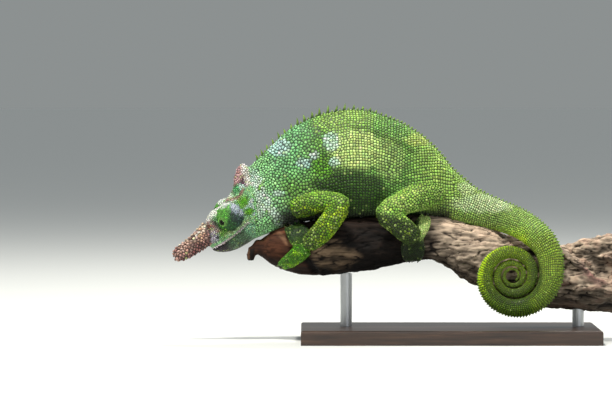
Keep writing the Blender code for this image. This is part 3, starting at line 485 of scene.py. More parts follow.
def tail_line():
    """The tail's centre line with its half height and half width, from the vent to the tip."""
    turn = np.arange(0.0, COIL_TURNS * 2 * math.pi, 0.12)
    shrink = np.exp(-COIL_SHRINK * turn)
    loose = COIL_LOOSE * np.exp(-turn / COIL_LOOSE_FADE)
    radius = COIL_OUTER * COIL_MIDLINE * shrink + loose
    x = np.concatenate([TAIL_X, COIL_CENTRE[0] + radius * np.cos(turn)])
    z = np.concatenate([TAIL_Z, COIL_CENTRE[1] - radius * np.sin(turn)])
    y = np.concatenate([TAIL_Y, np.full(len(turn), COIL_Y)])
    tall = np.concatenate([TAIL_TALL, COIL_OUTER * COIL_TALL * shrink + 0.9 * loose])
    half = np.concatenate([TAIL_HALF, COIL_OUTER * COIL_WIDE * shrink + 0.3 * loose])
    return np.stack([x, y, z], axis=1), tall, half


TAIL_POINTS, TAIL_HIGH, TAIL_WIDE = tail_line()
TAIL_S = lengths(TAIL_POINTS)


def tail_ring(s, turn, grow=0.0):
    """A section of the tail at a length from the vent."""
    at = np.array((s - 0.2, s, s + 0.2))
    behind, line, ahead = np.stack([smooth(TAIL_S, TAIL_POINTS[:, axis], at) for axis in range(3)], axis=1)
    ease = min(s / TAIL_UPRIGHT, 1.0)
    along = unit((1 - ease) * np.array((1.0, 0.0, 0.0)) + ease * unit(ahead - behind))
    side = unit(np.cross(np.cross(along, (0.0, 1.0, 0.0)), along))
    up = np.cross(along, side)
    high = float(smooth(TAIL_S, TAIL_HIGH, s))
    wide = float(smooth(TAIL_S, TAIL_WIDE, s)) + grow
    keel = TAIL_KEEL[1] + (TAIL_KEEL[0] - TAIL_KEEL[1]) * (1 - min(s / TAIL_KEEL_ENDS, 1.0))
    drop = VENT_LOW * high * (1 - min(s / VENT_ENDS, 1.0))
    return section(line - drop * up, side, up, high + drop + grow, high - drop + grow, wide, turn, keel)


HEAD = np.array(Matrix.Translation(MOUTH_CORNER) @ Matrix.Rotation(-math.radians(HEAD_PITCH), 4, "Y")
                @ Matrix.Rotation(math.radians(HEAD_ROLL), 4, "X") @ Matrix.Translation((0.0, LIP_SIDE, 0.0)))


def from_head(points):
    """Turns head points, given as forward, right and up, into the part's frame."""
    return (np.asarray(points, float) * (-1, 1, 1)) @ HEAD[:3, :3].T + HEAD[:3, 3]


def to_head(points):
    """Turns points of the part's frame into forward, right and up in the head."""
    return ((points - HEAD[:3, 3]) @ HEAD[:3, :3]) * (-1, 1, 1)


FORWARD = from_head([(1.0, 0.0, 0.0)])[0] - from_head([(0.0, 0.0, 0.0)])[0]


def from_axis(points, start, axis):
    """How far points lie along an axis, and how far off it."""
    offset = points - start
    along = offset @ axis
    return along, np.linalg.norm(offset - along[:, None] * axis, axis=1)


def nape_ring():
    """The last section of the head, where the neck takes over."""
    high = (0.0, 0.07, 0.17, 0.32, 0.52, NAPE_LEVEL - 0.12, NAPE_LEVEL, 0.5 * (1 + NAPE_LEVEL), 1.0)
    wide = (0.84, 0.97, 0.92, 1.0, 0.97, 1.02 * NAPE_OUT, NAPE_OUT, 0.28 * NAPE_OUT, 0.0)
    low, top, chin = np.array(NAPE_MOUTH), np.array(NAPE_TOP), np.array(NAPE_CHIN)
    left = [(*(low + h * (top - low)), w) for h, w in list(zip(high, wide))[::-1]]
    chin_side = ((0.12, 0.97), (0.28, 0.89), (0.54, 0.76), (0.8, 0.42))
    left += [(*(low + d * (chin - low)), w) for d, w in chin_side]
    left.append((*chin, 0.0))
    right = [(f, u, -w) for f, u, w in left[-2:0:-1]]
    return from_head([(f, -w * NAPE_HALF, u) for f, u, w in left + right])


def turns(sides):
    """Evenly spaced angles round a section."""
    return np.arange(sides) * 2 * math.pi / sides


def loft(rings):
    """A closed tube through equal rings."""
    rings = np.array(rings)
    count, sides = rings.shape[:2]
    points = np.concatenate([rings.reshape(-1, 3), rings[:1].mean(axis=1), rings[-1:].mean(axis=1)])
    here = np.arange(sides)
    after = (here + 1) % sides
    faces = [quad for k in range(count - 1) for quad in
             zip(k * sides + here, k * sides + after, (k + 1) * sides + after, (k + 1) * sides + here)]
    faces += list(zip(here, after, [len(points) - 2] * sides))
    faces += list(zip((count - 1) * sides + here, (count - 1) * sides + after, [len(points) - 1] * sides))
    mesh = bpy.data.meshes.new("loft")
    mesh.from_pydata((points * MM).tolist(), [], [[int(i) for i in face] for face in faces])
    work = bmesh.new()
    work.from_mesh(mesh)
    bmesh.ops.recalc_face_normals(work, faces=work.faces)
    work.to_mesh(mesh)
    work.free()
    return mesh


def gathered(name, meshes):
    """Several meshes as one."""
    work = bmesh.new()
    for mesh in meshes:
        work.from_mesh(mesh)
    made = bpy.data.meshes.new(name)
    work.to_mesh(made)
    work.free()
    return made


FLESH = ["head", "jaw", "tail_base", "neck", "torso", "tail_middle", "tail_coil_front", "tail_coil_under",
         "tail_coil_back", "tail_coil_inner_lower", "tail_coil_inner_upper", "tail_tip"]
LIMBS = []
for word in ("left", "right"):
    FLESH.append(f"eye_turret_{word}")
    LIMBS += [f"upper_arm_{word}", f"forearm_{word}", f"thigh_{word}", f"shin_{word}"]
    LIMBS += [f"hand_{word}_lower_toes", f"hand_{word}_upper_toes"]
    LIMBS += [f"foot_{word}_lower_toes", f"foot_{word}_upper_toes"]

NECK_RINGS, NECK_TURNS = 14, 26
TRUNK_RINGS, STUB_RINGS, BODY_TURNS = 70, 28, 52
THIN_TURNS, THIN_RING_GAP = 28, 0.8
nape = nape_ring()
shoulder = trunk_ring(TRUNK_X[0], turns(NECK_TURNS), SKIN_GROW)
neck_loft = loft([(1 - t) * nape + t * shoulder for t in np.linspace(0.0, 1.0, NECK_RINGS)])
body_turns = turns(BODY_TURNS)
body_rings = [trunk_ring(x, body_turns, SKIN_GROW) for x in np.linspace(TRUNK_X[0], TRUNK_X[-1], TRUNK_RINGS)]
body_rings += [tail_ring(s, body_turns, SKIN_GROW) for s in np.linspace(1.2, STUB_TAIL, STUB_RINGS)]
thin_rings = [tail_ring(s, turns(THIN_TURNS), -SKIN_DEEP - 0.3 * float(step(31.0, 29.0, s)))
              for s in np.arange(THIN_TAIL, TAIL_S[-1] - 0.4, THIN_RING_GAP)]
tip = thin_rings[-1]
ahead = unit(tip.mean(axis=0) - thin_rings[-2].mean(axis=0))
for share in (0.8, 0.4):
    thin_rings.append(tip.mean(axis=0) + (tip - tip.mean(axis=0)) * share + 0.9 * (1 - share) * ahead)
tail_mesh = loft(thin_rings)
TURRET = (5.0, 5.4, 9.2)
TURRET_R = 7.8
TURRET_AHEAD = 48.0
TURRET_LIFT = 8.4


def eye_frame(side):
    """The middle of one eye turret, the eye's axis and two directions square to it."""
    swing, lift = math.radians(TURRET_AHEAD), math.radians(TURRET_LIFT)
    level = np.array((math.sin(swing), side * math.cos(swing), 0.0))
    upright = np.array((0.0, 0.0, 1.0))
    middle = np.array((TURRET[0], side * TURRET[1], TURRET[2]))
    ends = from_head([middle, middle + math.cos(lift) * level + math.sin(lift) * upright,
                      middle + math.cos(lift) * upright - math.sin(lift) * level])
    axis, up = ends[1] - ends[0], ends[2] - ends[0]
    return ends[0], axis, up, np.cross(axis, up)


EYES = {side: eye_frame(side) for side in (-1, 1)}


def domes():
    """A ball at each eye turret."""
    work = bmesh.new()
    for middle, axis, up, across in EYES.values():
        bmesh.ops.create_uvsphere(work, u_segments=48, v_segments=32, radius=(TURRET_R + SKIN_GROW) * MM,
                                  matrix=Matrix.Translation(middle * MM))
    mesh = bpy.data.meshes.new("domes")
    work.to_mesh(mesh)
    work.free()
    return mesh


cast = gathered("skin", [neck_loft, loft(body_rings), domes(), welded(["head", "jaw"] + LIMBS, SKIN_GROW)])
skin = remeshed("scaled_skin", cast, SKIN_VOXEL, 4)

# The mouth's line runs round the snout and back to the cheek, and the nostrils open above it
MOUTH_F = (24.3, 23.6, 21.4, 18.5, 15.0, 11.0, 6.8, 2.8, 0.0, -0.9, -1.6, -2.2, -2.7, -3.1, -3.4)
MOUTH_U = (-0.9, -1.3, -1.5, -1.6, -1.6, -1.5, -1.1, -0.5, 0.0, -0.4, -0.8, -1.2, -1.5, -1.8, -2.0)
HEAD_REACH = 60.0
MOUTH_WIDE = 0.55
MOUTH_DEEP = 0.6
NOSTRIL = (17.6, 3.5)
NOSTRIL_R = 0.95
NOSTRIL_DEEP = 1.1
CASQUE_KEPT = 0.75
CREASE_DEEP = 0.7
FRONT_DEEP = 1.0
OPENING = 3.0
LID = ((3.5, 6.3), (3.15, 6.66), (2.8, 7.1), (2.5, 7.5), (2.15, 7.76), (1.85, 7.84), (1.62, 7.74),
       (1.5, 7.4), (1.48, 6.8), (1.52, 6.1))
LID_SIDES = 40


def mouth_gap(spots):
    """How far head points stand above the mouth's line, and how much of the line reaches them."""
    gap = spots[:, 2] - smooth(MOUTH_F, MOUTH_U, spots[:, 0])
    return gap, step(-5.5, -2.5, spots[:, 0]) * step(-9.0, -7.0, -np.abs(gap))


work = bmesh.new()
work.from_mesh(skin.data)
islands, seen = [], set()
for vert in work.verts:
    if vert.index in seen:
        continue
    seen.add(vert.index)
    island, front = [vert], [vert]
    while front:
        for edge in front.pop().link_edges:
            for other in edge.verts:
                if other.index not in seen:
                    seen.add(other.index)
                    island.append(other)
                    front.append(other)
    islands.append(island)
islands.sort(key=len)
bmesh.ops.delete(work, geom=[vert for island in islands[:-1] for vert in island], context="VERTS")
spots = to_head(np.array([vert.co for vert in work.verts]) / MM)
gap, reach = mouth_gap(spots)
near = (np.abs(gap) < 1.5) & (reach > 0.0)
near |= np.hypot(spots[:, 0] - NOSTRIL[0], spots[:, 2] - NOSTRIL[1]) < 2.0
work.verts.index_update()
edges = [edge for edge in work.edges if near[edge.verts[0].index] and near[edge.verts[1].index]]
bmesh.ops.subdivide_edges(work, edges=edges, cuts=1, use_grid_fill=True)
bmesh.ops.triangulate(work, faces=[face for face in work.faces if len(face.verts) > 4])
work.to_mesh(skin.data)
work.free()

places, normals = arrays_of(skin.data)
in_body = np.linalg.norm((places - HEAD[:3, 3]) * (1, 0, 1), axis=1) > HEAD_REACH
sink = SKIN_GROW + SKIN_DEEP + 0.3 * step(30.0, 32.0, places[:, 0]) * (places[:, 2] > 60.0)
spots = to_head(places)
sink -= CASQUE_KEPT * step(20.0, 23.5, spots[:, 2]) * step(-3.0, -6.0, spots[:, 0]) * ~in_body
gap, reach = mouth_gap(spots)
reach = np.where(in_body, 0.0, reach)
sink += MOUTH_DEEP * np.exp(-(gap / MOUTH_WIDE) ** 2) * reach
off = np.hypot(spots[:, 0] - NOSTRIL[0], spots[:, 2] - NOSTRIL[1])
sink += NOSTRIL_DEEP * step(1.25 * NOSTRIL_R, 0.5 * NOSTRIL_R, off) * ~in_body
for middle, axis, up, across in EYES.values():
    clear = np.linalg.norm(places - middle, axis=1) - TURRET_R - SKIN_GROW
    front = step(0.35, 0.75, unit(places - middle) @ FORWARD)
    sink += (CREASE_DEEP + FRONT_DEEP * front) * step(1.5, 0.25, clear) * (clear > 0.12)
put_places(skin.data, places - normals * sink[:, None])

work = bmesh.new()
work.from_mesh(skin.data)
for middle, axis, up, across in EYES.values():
    along, off = from_axis(np.array([vert.co for vert in work.verts]) / MM, middle, axis)
    inside = (off < OPENING) & (along > 0.0)
    doomed = [vert for vert, out in zip(work.verts, inside) if out]
    bmesh.ops.delete(work, geom=doomed, context="VERTS")
work.to_mesh(skin.data)
work.free()

lids = []
for middle, axis, up, across in EYES.values():
    spokes = np.cos(turns(LID_SIDES))[:, None] * up + np.sin(turns(LID_SIDES))[:, None] * across
    rings = np.array([middle + along * axis + out * spokes for out, along in LID])
    faces = [(k * LID_SIDES + i, k * LID_SIDES + (i + 1) % LID_SIDES,
              (k + 1) * LID_SIDES + (i + 1) % LID_SIDES, (k + 1) * LID_SIDES + i)
             for k in range(len(LID) - 1) for i in range(LID_SIDES)]
    lid = bpy.data.meshes.new("lid")
    lid.from_pydata((rings.reshape(-1, 3) * MM).tolist(), [], faces)
    lid.update()
    if (lid.polygons[0].normal @ Vector(axis)) < 0:
        lid.flip_normals()
    lids.append(lid)
skin.data = gathered("skin", [skin.data, tail_mesh] + lids)
skin.data.shade_smooth()

SKIN_SHADES = ((0.32, (150, 150, 150)), (0.5, (216, 216, 214)), (0.7, (255, 255, 250)))
skin_finish, shader = painted("soft_skin", (0.5, 0.7), 1500.0, (1.0, 1.0, 1.0), SKIN_SHADES, 0.5, 0.15)
skin.data.materials.append(skin_finish)
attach(skin, "root")
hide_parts(*FLESH, *LIMBS)

# The crest. Narrow soft spines stand in one row along the neck and the front of the back, with low
# ones between them, and run on as a saw edge of small pointed scales to the outside of the coil.
CREST_SEED = 11
CREST_AT = (0.0, 8.0, 14.0, 40.0, 58.0, 68.0, 80.0, 95.0, 150.0, 230.0, 330.0)
CREST_TALL = (2.6, 4.1, 4.2, 4.5, 4.3, 3.6, 2.4, 1.5, 1.5, 1.3, 0.7)
CREST_WIDE = (0.9, 1.0, 1.05, 1.1, 1.0, 0.95, 1.0, 1.05, 1.05, 0.9, 0.55)
CREST_GAP = (4.0, 4.1, 4.2, 4.6, 4.8, 4.8, 3.2, 2.2, 2.2, 1.9, 1.4)
CREST_LEAN = (18.0, 22.0, 30.0, 33.0, 28.0, 24.0, 20.0, 22.0, 28.0, 30.0, 30.0)
NAPE_BARE = 7.0
CREST_ENDS = 330.0
SPINE_SIDES = 8
SPINE_RINGS = ((-1.3, 1.06), (0.0, 1.0), (0.22, 0.8), (0.5, 0.52), (0.78, 0.24), (1.0, 0.03))
SPINE_THIN = 0.5
SPINE_HOOK = 0.16
SPINE_SUNK = 0.3
LOW_SPINES_FROM = 2.2


def ridge_line():
    """Places, outward and tailward directions along the ridge, from the nape to the tail's tip."""
    first = turns(2)
    rings = [(1 - t) * nape + t * shoulder for t in np.linspace(0.0, 0.99, 30)]
    tops = [ring[0] for ring in rings]
    middles = [ring.mean(axis=0) for ring in rings]
    for x in np.arange(TRUNK_X[0], TRUNK_X[-1], 1.0):
        ring = trunk_ring(x, first)
        tops.append(ring[0])
        middles.append(ring.mean(axis=0))
    for s in np.arange(0.6, TAIL_S[-1] - 1.0, 0.8):
        ring = tail_ring(s, first)
        tops.append(ring[0])
        middles.append(ring.mean(axis=0))
    tops, middles = np.array(tops), np.array(middles)
    along = unit(np.gradient(tops, axis=0))
    for repeat in range(4):
        along[1:-1] = unit(along[:-2] + 2 * along[1:-1] + along[2:])
    out = unit(tops - middles)
    out = unit(out - np.sum(out * along, axis=1)[:, None] * along)
    return tops, out, along


RIDGE, RIDGE_OUT, RIDGE_ALONG = ridge_line()
RIDGE_S = lengths(RIDGE)


def on_ridge(s):
    """Place, outward and tailward directions at a length along the ridge."""
    read = [np.array([np.interp(s, RIDGE_S, table[:, axis]) for axis in range(3)])
            for table in (RIDGE, RIDGE_OUT, RIDGE_ALONG)]
    return read[0], unit(read[1]), unit(read[2])


def spine(root, out, along, tall, wide, lean, thin=SPINE_THIN):
    """One curved spine, flattened across the ridge. Returns its points, its faces and its heights."""
    across = np.cross(out, along)
    ahead = math.cos(lean) * out + math.sin(lean) * along
    swing = turns(SPINE_SIDES)
    round_it = np.cos(swing)[:, None] * along + thin * np.sin(swing)[:, None] * across
    points = []
    for high, size in SPINE_RINGS:
        middle = root + (high * tall * ahead if high > 0 else high * out)
        points.append(middle - SPINE_HOOK * tall * max(high, 0) ** 2 * along + size * wide * round_it)
    rings = range(0, (len(SPINE_RINGS) - 1) * SPINE_SIDES, SPINE_SIDES)
    faces = [(k + a, k + b, k + b + SPINE_SIDES, k + a + SPINE_SIDES) for k in rings
             for a, b in ((i, (i + 1) % SPINE_SIDES) for i in range(SPINE_SIDES))]
    faces.append([rings[-1] + SPINE_SIDES + i for i in range(SPINE_SIDES)])
    return np.concatenate(points), faces, np.repeat([ring[0] for ring in SPINE_RINGS], SPINE_SIDES)


def shown(name, mesh, finish):
    """A finished piece in the scene."""
    mesh.materials.append(finish)
    made = bpy.data.objects.new(name, mesh)
    bpy.context.scene.collection.objects.link(made)
    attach(made, "root")


def joined(name, parts, finish):
    """One piece of many like parts, each given as its points in millimetres, its faces and its colours."""
    starts = np.cumsum([0] + [len(part[0]) for part in parts]).tolist()
    faces = [[start + i for i in face] for start, part in zip(starts, parts) for face in part[1]]
    mesh = bpy.data.meshes.new(name)
    mesh.from_pydata((np.concatenate([part[0] for part in parts]) * MM).tolist(), [], faces)
    mesh.update()
    mesh.shade_smooth()
    put_paint(mesh, np.concatenate([part[2] for part in parts]))
    shown(name, mesh, finish)


draw = np.random.default_rng(CREST_SEED)
spines = []
s = NAPE_BARE
while s < min(CREST_ENDS, RIDGE_S[-1] - 2.0):
    tall, wide, gap, lean = (float(smooth(CREST_AT, column, s)) for column in
                             (CREST_TALL, CREST_WIDE, CREST_GAP, CREST_LEAN))
    row = [(s, tall * draw.uniform(0.86, 1.14), wide)]
    if tall > LOW_SPINES_FROM:
        row.append((s + 0.5 * gap, tall * draw.uniform(0.3, 0.45), 0.72 * wide))
    for at, high, size in row:
        root, out, along = on_ridge(at)
        leaning = math.radians(lean * draw.uniform(0.75, 1.25))
        points, faces, heights = spine(root - SPINE_SUNK * out, out, along, high, size, leaning)
        rise = np.clip(heights, 0.0, 1.0)
        tone = mix(srgb(40, 66, 24), srgb(142, 184, 62), step(0.0, 0.5, rise) * draw.uniform(0.7, 1.0))
        spines.append((points, faces, mix(tone, srgb(66, 100, 22), 0.6 * step(0.7, 1.0, rise))))
    s += gap * draw.uniform(0.9, 1.1)

crest_finish, shader = painted("crest_scale", (0.4, 0.6), 1100.0, (1.0, 1.0, 0.3), SKIN_SHADES, 0.5, 0.12)
joined("back_crest", spines, crest_finish)

# The eyes. A dark glossy ball fills each turret behind a small round opening in the fused lids.
BALL_R = 2.6
BALL_PLACE = 4.75
IRIS_FROM = 1.28
EYE_SHADES = ((0.35, (190, 184, 170)), (0.6, (255, 255, 255)))
eye_finish, shader = painted("wet_eye", (0.04, 0.08), 2600.0, (1.0, 1.0, 1.0), EYE_SHADES, 0.02, 0.01)
shader.inputs["Specular IOR Level"].default_value = 0.18
for side, word in ((-1, "left"), (1, "right")):
    middle, axis, up, across = EYES[side]
    turned = Vector(axis).to_track_quat("Z", "Y").to_euler()
    bpy.ops.object.select_all(action="DESELECT")
    bpy.ops.mesh.primitive_uv_sphere_add(segments=40, ring_count=28, radius=BALL_R * MM, rotation=turned,
                                         location=(middle + BALL_PLACE * axis) * MM)
    bpy.ops.object.transform_apply(location=True, rotation=True, scale=True)
    ball = bpy.context.object
    ball.name = f"eyeball_{word}"
    places, normals = arrays_of(ball.data)
    iris = step(IRIS_FROM - 0.12, IRIS_FROM + 0.05, from_axis(places, middle, axis)[1])
    put_paint(ball.data, mix(srgb(6, 5, 5), srgb(92, 84, 40), iris))
    ball.data.shade_smooth()
    ball.data.materials.append(eye_finish)
    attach(ball, "root")
    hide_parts(f"eye_{word}")

# The claws. Each toe ends in a small hooked claw of clear horn, set into the toe's tip.
CLAW_LONG = 2.2
CLAW_R = 0.56
CLAW_SET = 0.85
CLAW_HOOK = 0.6
POINTED = 0.85
PALM_LEVEL = (46.0, 60.0)
GRIP_X, GRIP_Z = (-100.0, -20.0), (49.4, 55.3)
claw_finish, shader = painted("claw_horn", (0.24, 0.4), 1800.0, (1.0, 1.0, 0.4), SKIN_SHADES, 0.3, 0.08)
claws, claws_at = [], []
for name in [name for name in LIMBS if "toes" in name]:
    toes = bmesh.new()
    toes.from_mesh(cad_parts[name].data)
    bmesh.ops.remove_doubles(toes, verts=toes.verts, dist=WELD * MM)
    for vert in toes.verts:
        sides = [(edge.other_vert(vert).co - vert.co).normalized() for edge in vert.link_edges]
        back = sum(sides, Vector()) / len(sides)
        if back.length < POINTED or PALM_LEVEL[0] < vert.co.z / MM < PALM_LEVEL[1]:
            continue
        tip, ahead = np.array(vert.co) / MM, -unit(np.array(back))
        inward = np.array((0.0, -tip[1], smooth(GRIP_X, GRIP_Z, tip[0]) - tip[2]))
        inward = unit(inward - (inward @ ahead) * ahead)
        root = tip - CLAW_SET * CLAW_LONG * ahead
        points, faces, heights = spine(root, ahead, -inward, CLAW_LONG, CLAW_R, 0.0, 0.75)
        bend = np.clip(heights, 0.0, 1.0)
        points += CLAW_HOOK * bend[:, None]**2 * inward
        claws.append((points, faces, mix(srgb(84, 92, 48), srgb(38, 30, 22), bend)))
        claws_at.append((tip, ahead))
    toes.free()
joined("toe_claws", claws, claw_finish)

# The horns. Two upright bony blades stand side by side ahead of the eyes, wrapped in a pinkish skin
# with coarse raised plates.
horn_finish, shader = painted("horn_skin", (0.55, 0.75), 1200.0, (1.0, 1.0, 1.0), SKIN_SHADES, 0.6, 0.2)
HORN_VOXEL = 0.45
HORN_SOFTEN = 3
HORN_SUNK = 0.5
horn_cores = []
for word in ("left", "right"):
    core = remeshed(f"horn_core_{word}", welded([f"horn_{word}"], 0.0), HORN_VOXEL, HORN_SOFTEN)
    places, normals = arrays_of(core.data)
    put_places(core.data, places - HORN_SUNK * normals)
    core.data.shade_smooth()
    core.data.materials.append(horn_finish)
    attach(core, "root")
    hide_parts(f"horn_{word}")
    horn_cores.append(core)

# The coat. Thousands of small scales are set on the skin one by one: even rows round the trunk and
# the tail, rounded cobbles on the limbs, fine grains on the face and the feet.
COAT_SEED = 5
KINDS = {"torso": 0, "neck": 0, "tail": 1, "head": 2, "jaw": 3, "eye": 4, "upper": 5, "forearm": 5,
         "thigh": 6, "shin": 6, "hand": 7, "foot": 8, "horn": 9}
BODY, TAIL, SKULL, JAW, DOME, ARM, LEG, HAND, FOOT, HORN = range(10)
NODES = FLESH + LIMBS + ["horn_left", "horn_right"]
NODE_KIND = np.array([KINDS[name.split("_")[0]] for name in NODES])


def nodes_tree():
    """A search tree over the flesh nodes, and the node of each of its triangles."""
    points, faces, owners = [], [], []
    for number, name in enumerate(NODES):
        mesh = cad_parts[name].data
        mesh.calc_loop_triangles()
        start = len(points)
        points += [vert.co / MM for vert in mesh.vertices]
        faces += [tuple(start + i for i in tri.vertices) for tri in mesh.loop_triangles]
        owners += [number] * len(mesh.loop_triangles)
    return BVHTree.FromPolygons(points, faces), np.array(owners)


NODE_TREE, NODE_OF = nodes_tree()
covered = gathered("covered", [skin.data] + [core.data for core in horn_cores])
covered.calc_loop_triangles()
SKIN_POINTS, SKIN_NORMALS = arrays_of(covered)
SKIN_TRIS = np.empty(3 * len(covered.loop_triangles), np.int32)
covered.loop_triangles.foreach_get("vertices", SKIN_TRIS)
SKIN_TRIS = SKIN_TRIS.reshape(-1, 3)
TRI_CORNERS = SKIN_POINTS[SKIN_TRIS]
TRI_MIDDLE = TRI_CORNERS.mean(axis=1)
TRI_NORMAL = unit(SKIN_NORMALS[SKIN_TRIS].sum(axis=1) + 1e-9)
TRI_SIDES = TRI_CORNERS[:, 1:] - TRI_CORNERS[:, :1]
TRI_AREA = 0.5 * np.linalg.norm(np.cross(TRI_SIDES[:, 0], TRI_SIDES[:, 1]), axis=1)
TRI_NODE = NODE_OF[[NODE_TREE.find_nearest(p)[2] for p in TRI_MIDDLE.tolist()]]
SKIN_TREE = BVHTree.FromPolygons(SKIN_POINTS.tolist(), SKIN_TRIS.tolist())
SKIN_NODE = np.zeros(len(SKIN_POINTS), int)
SKIN_NODE[SKIN_TRIS.ravel()] = np.repeat(TRI_NODE, 3)


def laid(points):
    """Points moved to the nearest place on the skin, the skin's direction and node, and the move."""
    found = [SKIN_TREE.find_nearest(p) for p in points.tolist()]
    spots = np.array([hit[0] for hit in found])
    index = np.array([hit[2] for hit in found])
    return spots, TRI_NORMAL[index], TRI_NODE[index], np.array([hit[3] for hit in found])


def read_at(at, s, line):
    """Places on a line of points at given lengths along it."""
    return list(np.stack([np.interp(at, s, line[:, axis]) for axis in range(3)], axis=1))


def row_round(ring, pitch):
    """Places round one section at an even pitch, starting half a pitch from the ridge on each side."""
    spots = []
    for way in (1, -1):
        side = ring[(way * np.arange(len(ring) // 2 + 1)) % len(ring)]
        s = lengths(side)
        spots += read_at(np.arange(0.5 * pitch, s[-1] - 0.3 * pitch, pitch), s, side)
    return spots


COAT_KEYS = ("root", "normal", "node", "pitch", "way", "high")
COAT = {}


def set_scales(*columns):
    """Adds scales to the coat: place, outward direction, node, pitch, lengthwise direction and height."""
    for key, column in zip(COAT_KEYS, columns):
        COAT[key] = np.concatenate([COAT[key], column]) if key in COAT else np.array(column)


TRUNK_PITCH = 1.62
ROUND_PITCH = 1.56
TAIL_PITCH_AT = (0.0, 60.0, 170.0, 235.0)
TAIL_PITCH = (1.4, 1.1, 0.95, 0.62)
TAIL_ROW_AT = (0.0, 30.0, 150.0, 235.0)
TAIL_ROW = (1.4, 1.2, 1.1, 0.8)
EVEN_FROM = -72.0
ROW_REACH = 0.95
ROW_WANDER = 0.75
FINE_TURNS = turns(240)
ROW_SEED = 8
LIP_SEEN_FROM = 30.0
SNOUT_MIDDLE = 17.0
SNOUT_R = 6.5
roots, pitches, ways = [], [], []
x = EVEN_FROM
while x < TRUNK_X[-1]:
    slope = float(smooth(TRUNK_X, TRUNK_TOP, x + 0.5) - smooth(TRUNK_X, TRUNK_TOP, x - 0.5))
    lean = math.cos(0.55 * math.atan(slope))
    row = row_round(trunk_ring(x, FINE_TURNS), ROUND_PITCH / lean)
    roots += row
    pitches += [TRUNK_PITCH] * len(row)
    ways += [(1.0, 0.0, 0.0)] * len(row)
    x += TRUNK_PITCH * lean
s = 1.0
while s < TAIL_S[-1] - 1.0:
    size = float(np.interp(s, TAIL_PITCH_AT, TAIL_PITCH))
    row = row_round(tail_ring(s, FINE_TURNS), size)
    middles = [tail_ring(at, FINE_TURNS[::60]).mean(axis=0) for at in (s, s + 0.5)]
    roots += row
    pitches += [size] * len(row)
    ways += [unit(middles[1] - middles[0])] * len(row)
    s += float(np.interp(s, TAIL_ROW_AT, TAIL_ROW))
roots, pitches, ways = (np.array(column) for column in (roots, pitches, ways))
wander = np.stack([noise_at(roots, (9.0, 9.0, 9.0), seed) for seed in (3.0, 23.0, 43.0)], axis=1)
loose = 0.1 + 0.28 * step(-50.0, -72.0, roots[:, 0])
loose = loose[:, None] * np.random.default_rng(ROW_SEED).normal(size=roots.shape)
spots, normals, nodes, moved = laid(roots + ROW_WANDER * wander + loose)
ragged_end = EVEN_FROM + 4.0 * noise_at(spots, (5.0, 5.0, 5.0), 12.0)
keep = (moved < ROW_REACH) & (NODE_KIND[nodes] <= TAIL)
keep &= (spots[:, 0] > ragged_end) | (NODE_KIND[nodes] == TAIL)
set_scales(*(column[keep] for column in (spots, normals, nodes, pitches, ways, np.ones(len(spots)))))


def lip_row(rise, pitch):
    """Places along the lips, a little above or below the mouth's line, found from outside."""
    spots = []
    for side in (-1, 1):
        for f in np.arange(-2.5, SNOUT_MIDDLE + 1.0, pitch):
            spots.append(((f, LIP_SEEN_FROM * side, 0.0), (0.0, -side, 0.0)))
    for swing in np.radians(np.arange(14.0, 170.0, math.degrees(pitch / SNOUT_R))):
        out = np.array((math.sin(swing), math.cos(swing), 0.0))
        spots.append((np.array((SNOUT_MIDDLE, 0.0, 0.0)) + LIP_SEEN_FROM * out, -out))
    found = []
    for start, way in spots:
        f = start[0] if way[0] == 0.0 else SNOUT_MIDDLE + 1.0 - 5.0 * way[0]
        start = np.array(start) + (0.0, 0.0, float(smooth(MOUTH_F, MOUTH_U, f)) + rise)
        ends = from_head([start, start + way])
        hit = SKIN_TREE.ray_cast(Vector(ends[0]), Vector(ends[1] - ends[0]))
        if hit[0] is not None:
            found.append(np.array(hit[0]))
    return np.array(found)


EYE_ROWS = (2.05, 11.0)
EYE_ROW_GAP = 0.95
EYE_PITCH_AT = (2.0, 3.4, 5.0, 9.0)
EYE_PITCH = (0.55, 0.75, 0.95, 1.05)


def eye_rows(side):
    """Rings of small scales round one eye's opening, with their pitch."""
    middle, axis, up, across = EYES[side]
    spots, sizes = [], []
    reach, k = EYE_ROWS[0], 0
    while reach < EYE_ROWS[1]:
        size = float(np.interp(reach, EYE_PITCH_AT, EYE_PITCH))
        swing = reach / TURRET_R
        count = int(round(2 * math.pi * TURRET_R * math.sin(swing) / size))
        for turn in (np.arange(count) + 0.5 * (k % 2)) * 2 * math.pi / count:
            out = math.cos(turn) * up + math.sin(turn) * across
            spots.append(middle + TURRET_R * (math.cos(swing) * axis + math.sin(swing) * out))
            sizes.append(size)
        reach += size * EYE_ROW_GAP
        k += 1
    return np.array(spots), np.array(sizes)


def add_rows(points, pitch, way, limit, only, high=1.0):
    """Sets scales at given places where the skin of some kinds of node lies within reach."""
    spots, normals, nodes, moved = laid(points)
    keep = (moved < limit) & np.isin(NODE_KIND[nodes], only)
    pitch, way = np.broadcast_to(pitch, (len(points),)), np.broadcast_to(way, (len(points), 3))
    high = np.broadcast_to(high, (len(points),))
    set_scales(*(column[keep] for column in (spots, normals, nodes, pitch, way, high)))


HORN_F = (18.5, 22.5, 27.0, 31.0, 35.0, 38.6, 41.6, 43.6)
HORN_LOW = (2.6, 1.6, 1.8, 2.2, 2.6, 3.4, 4.4, 6.0)
HORN_HIGH = (13.0, 12.4, 11.4, 10.8, 10.6, 10.6, 10.2, 8.4)
HORN_HALF = (2.0, 2.1, 2.1, 2.0, 1.8, 1.6, 1.3, 0.8)
HORN_SIDE = (3.0, 3.4, 3.8, 4.0, 4.2, 4.3, 4.4, 4.4)
HORN_TURNS = turns(160)
PLATES_FROM = 17.5
PLATE_LONG = 2.1
PLATE_TALL = 1.3
PLATE_SLOPE = -0.35


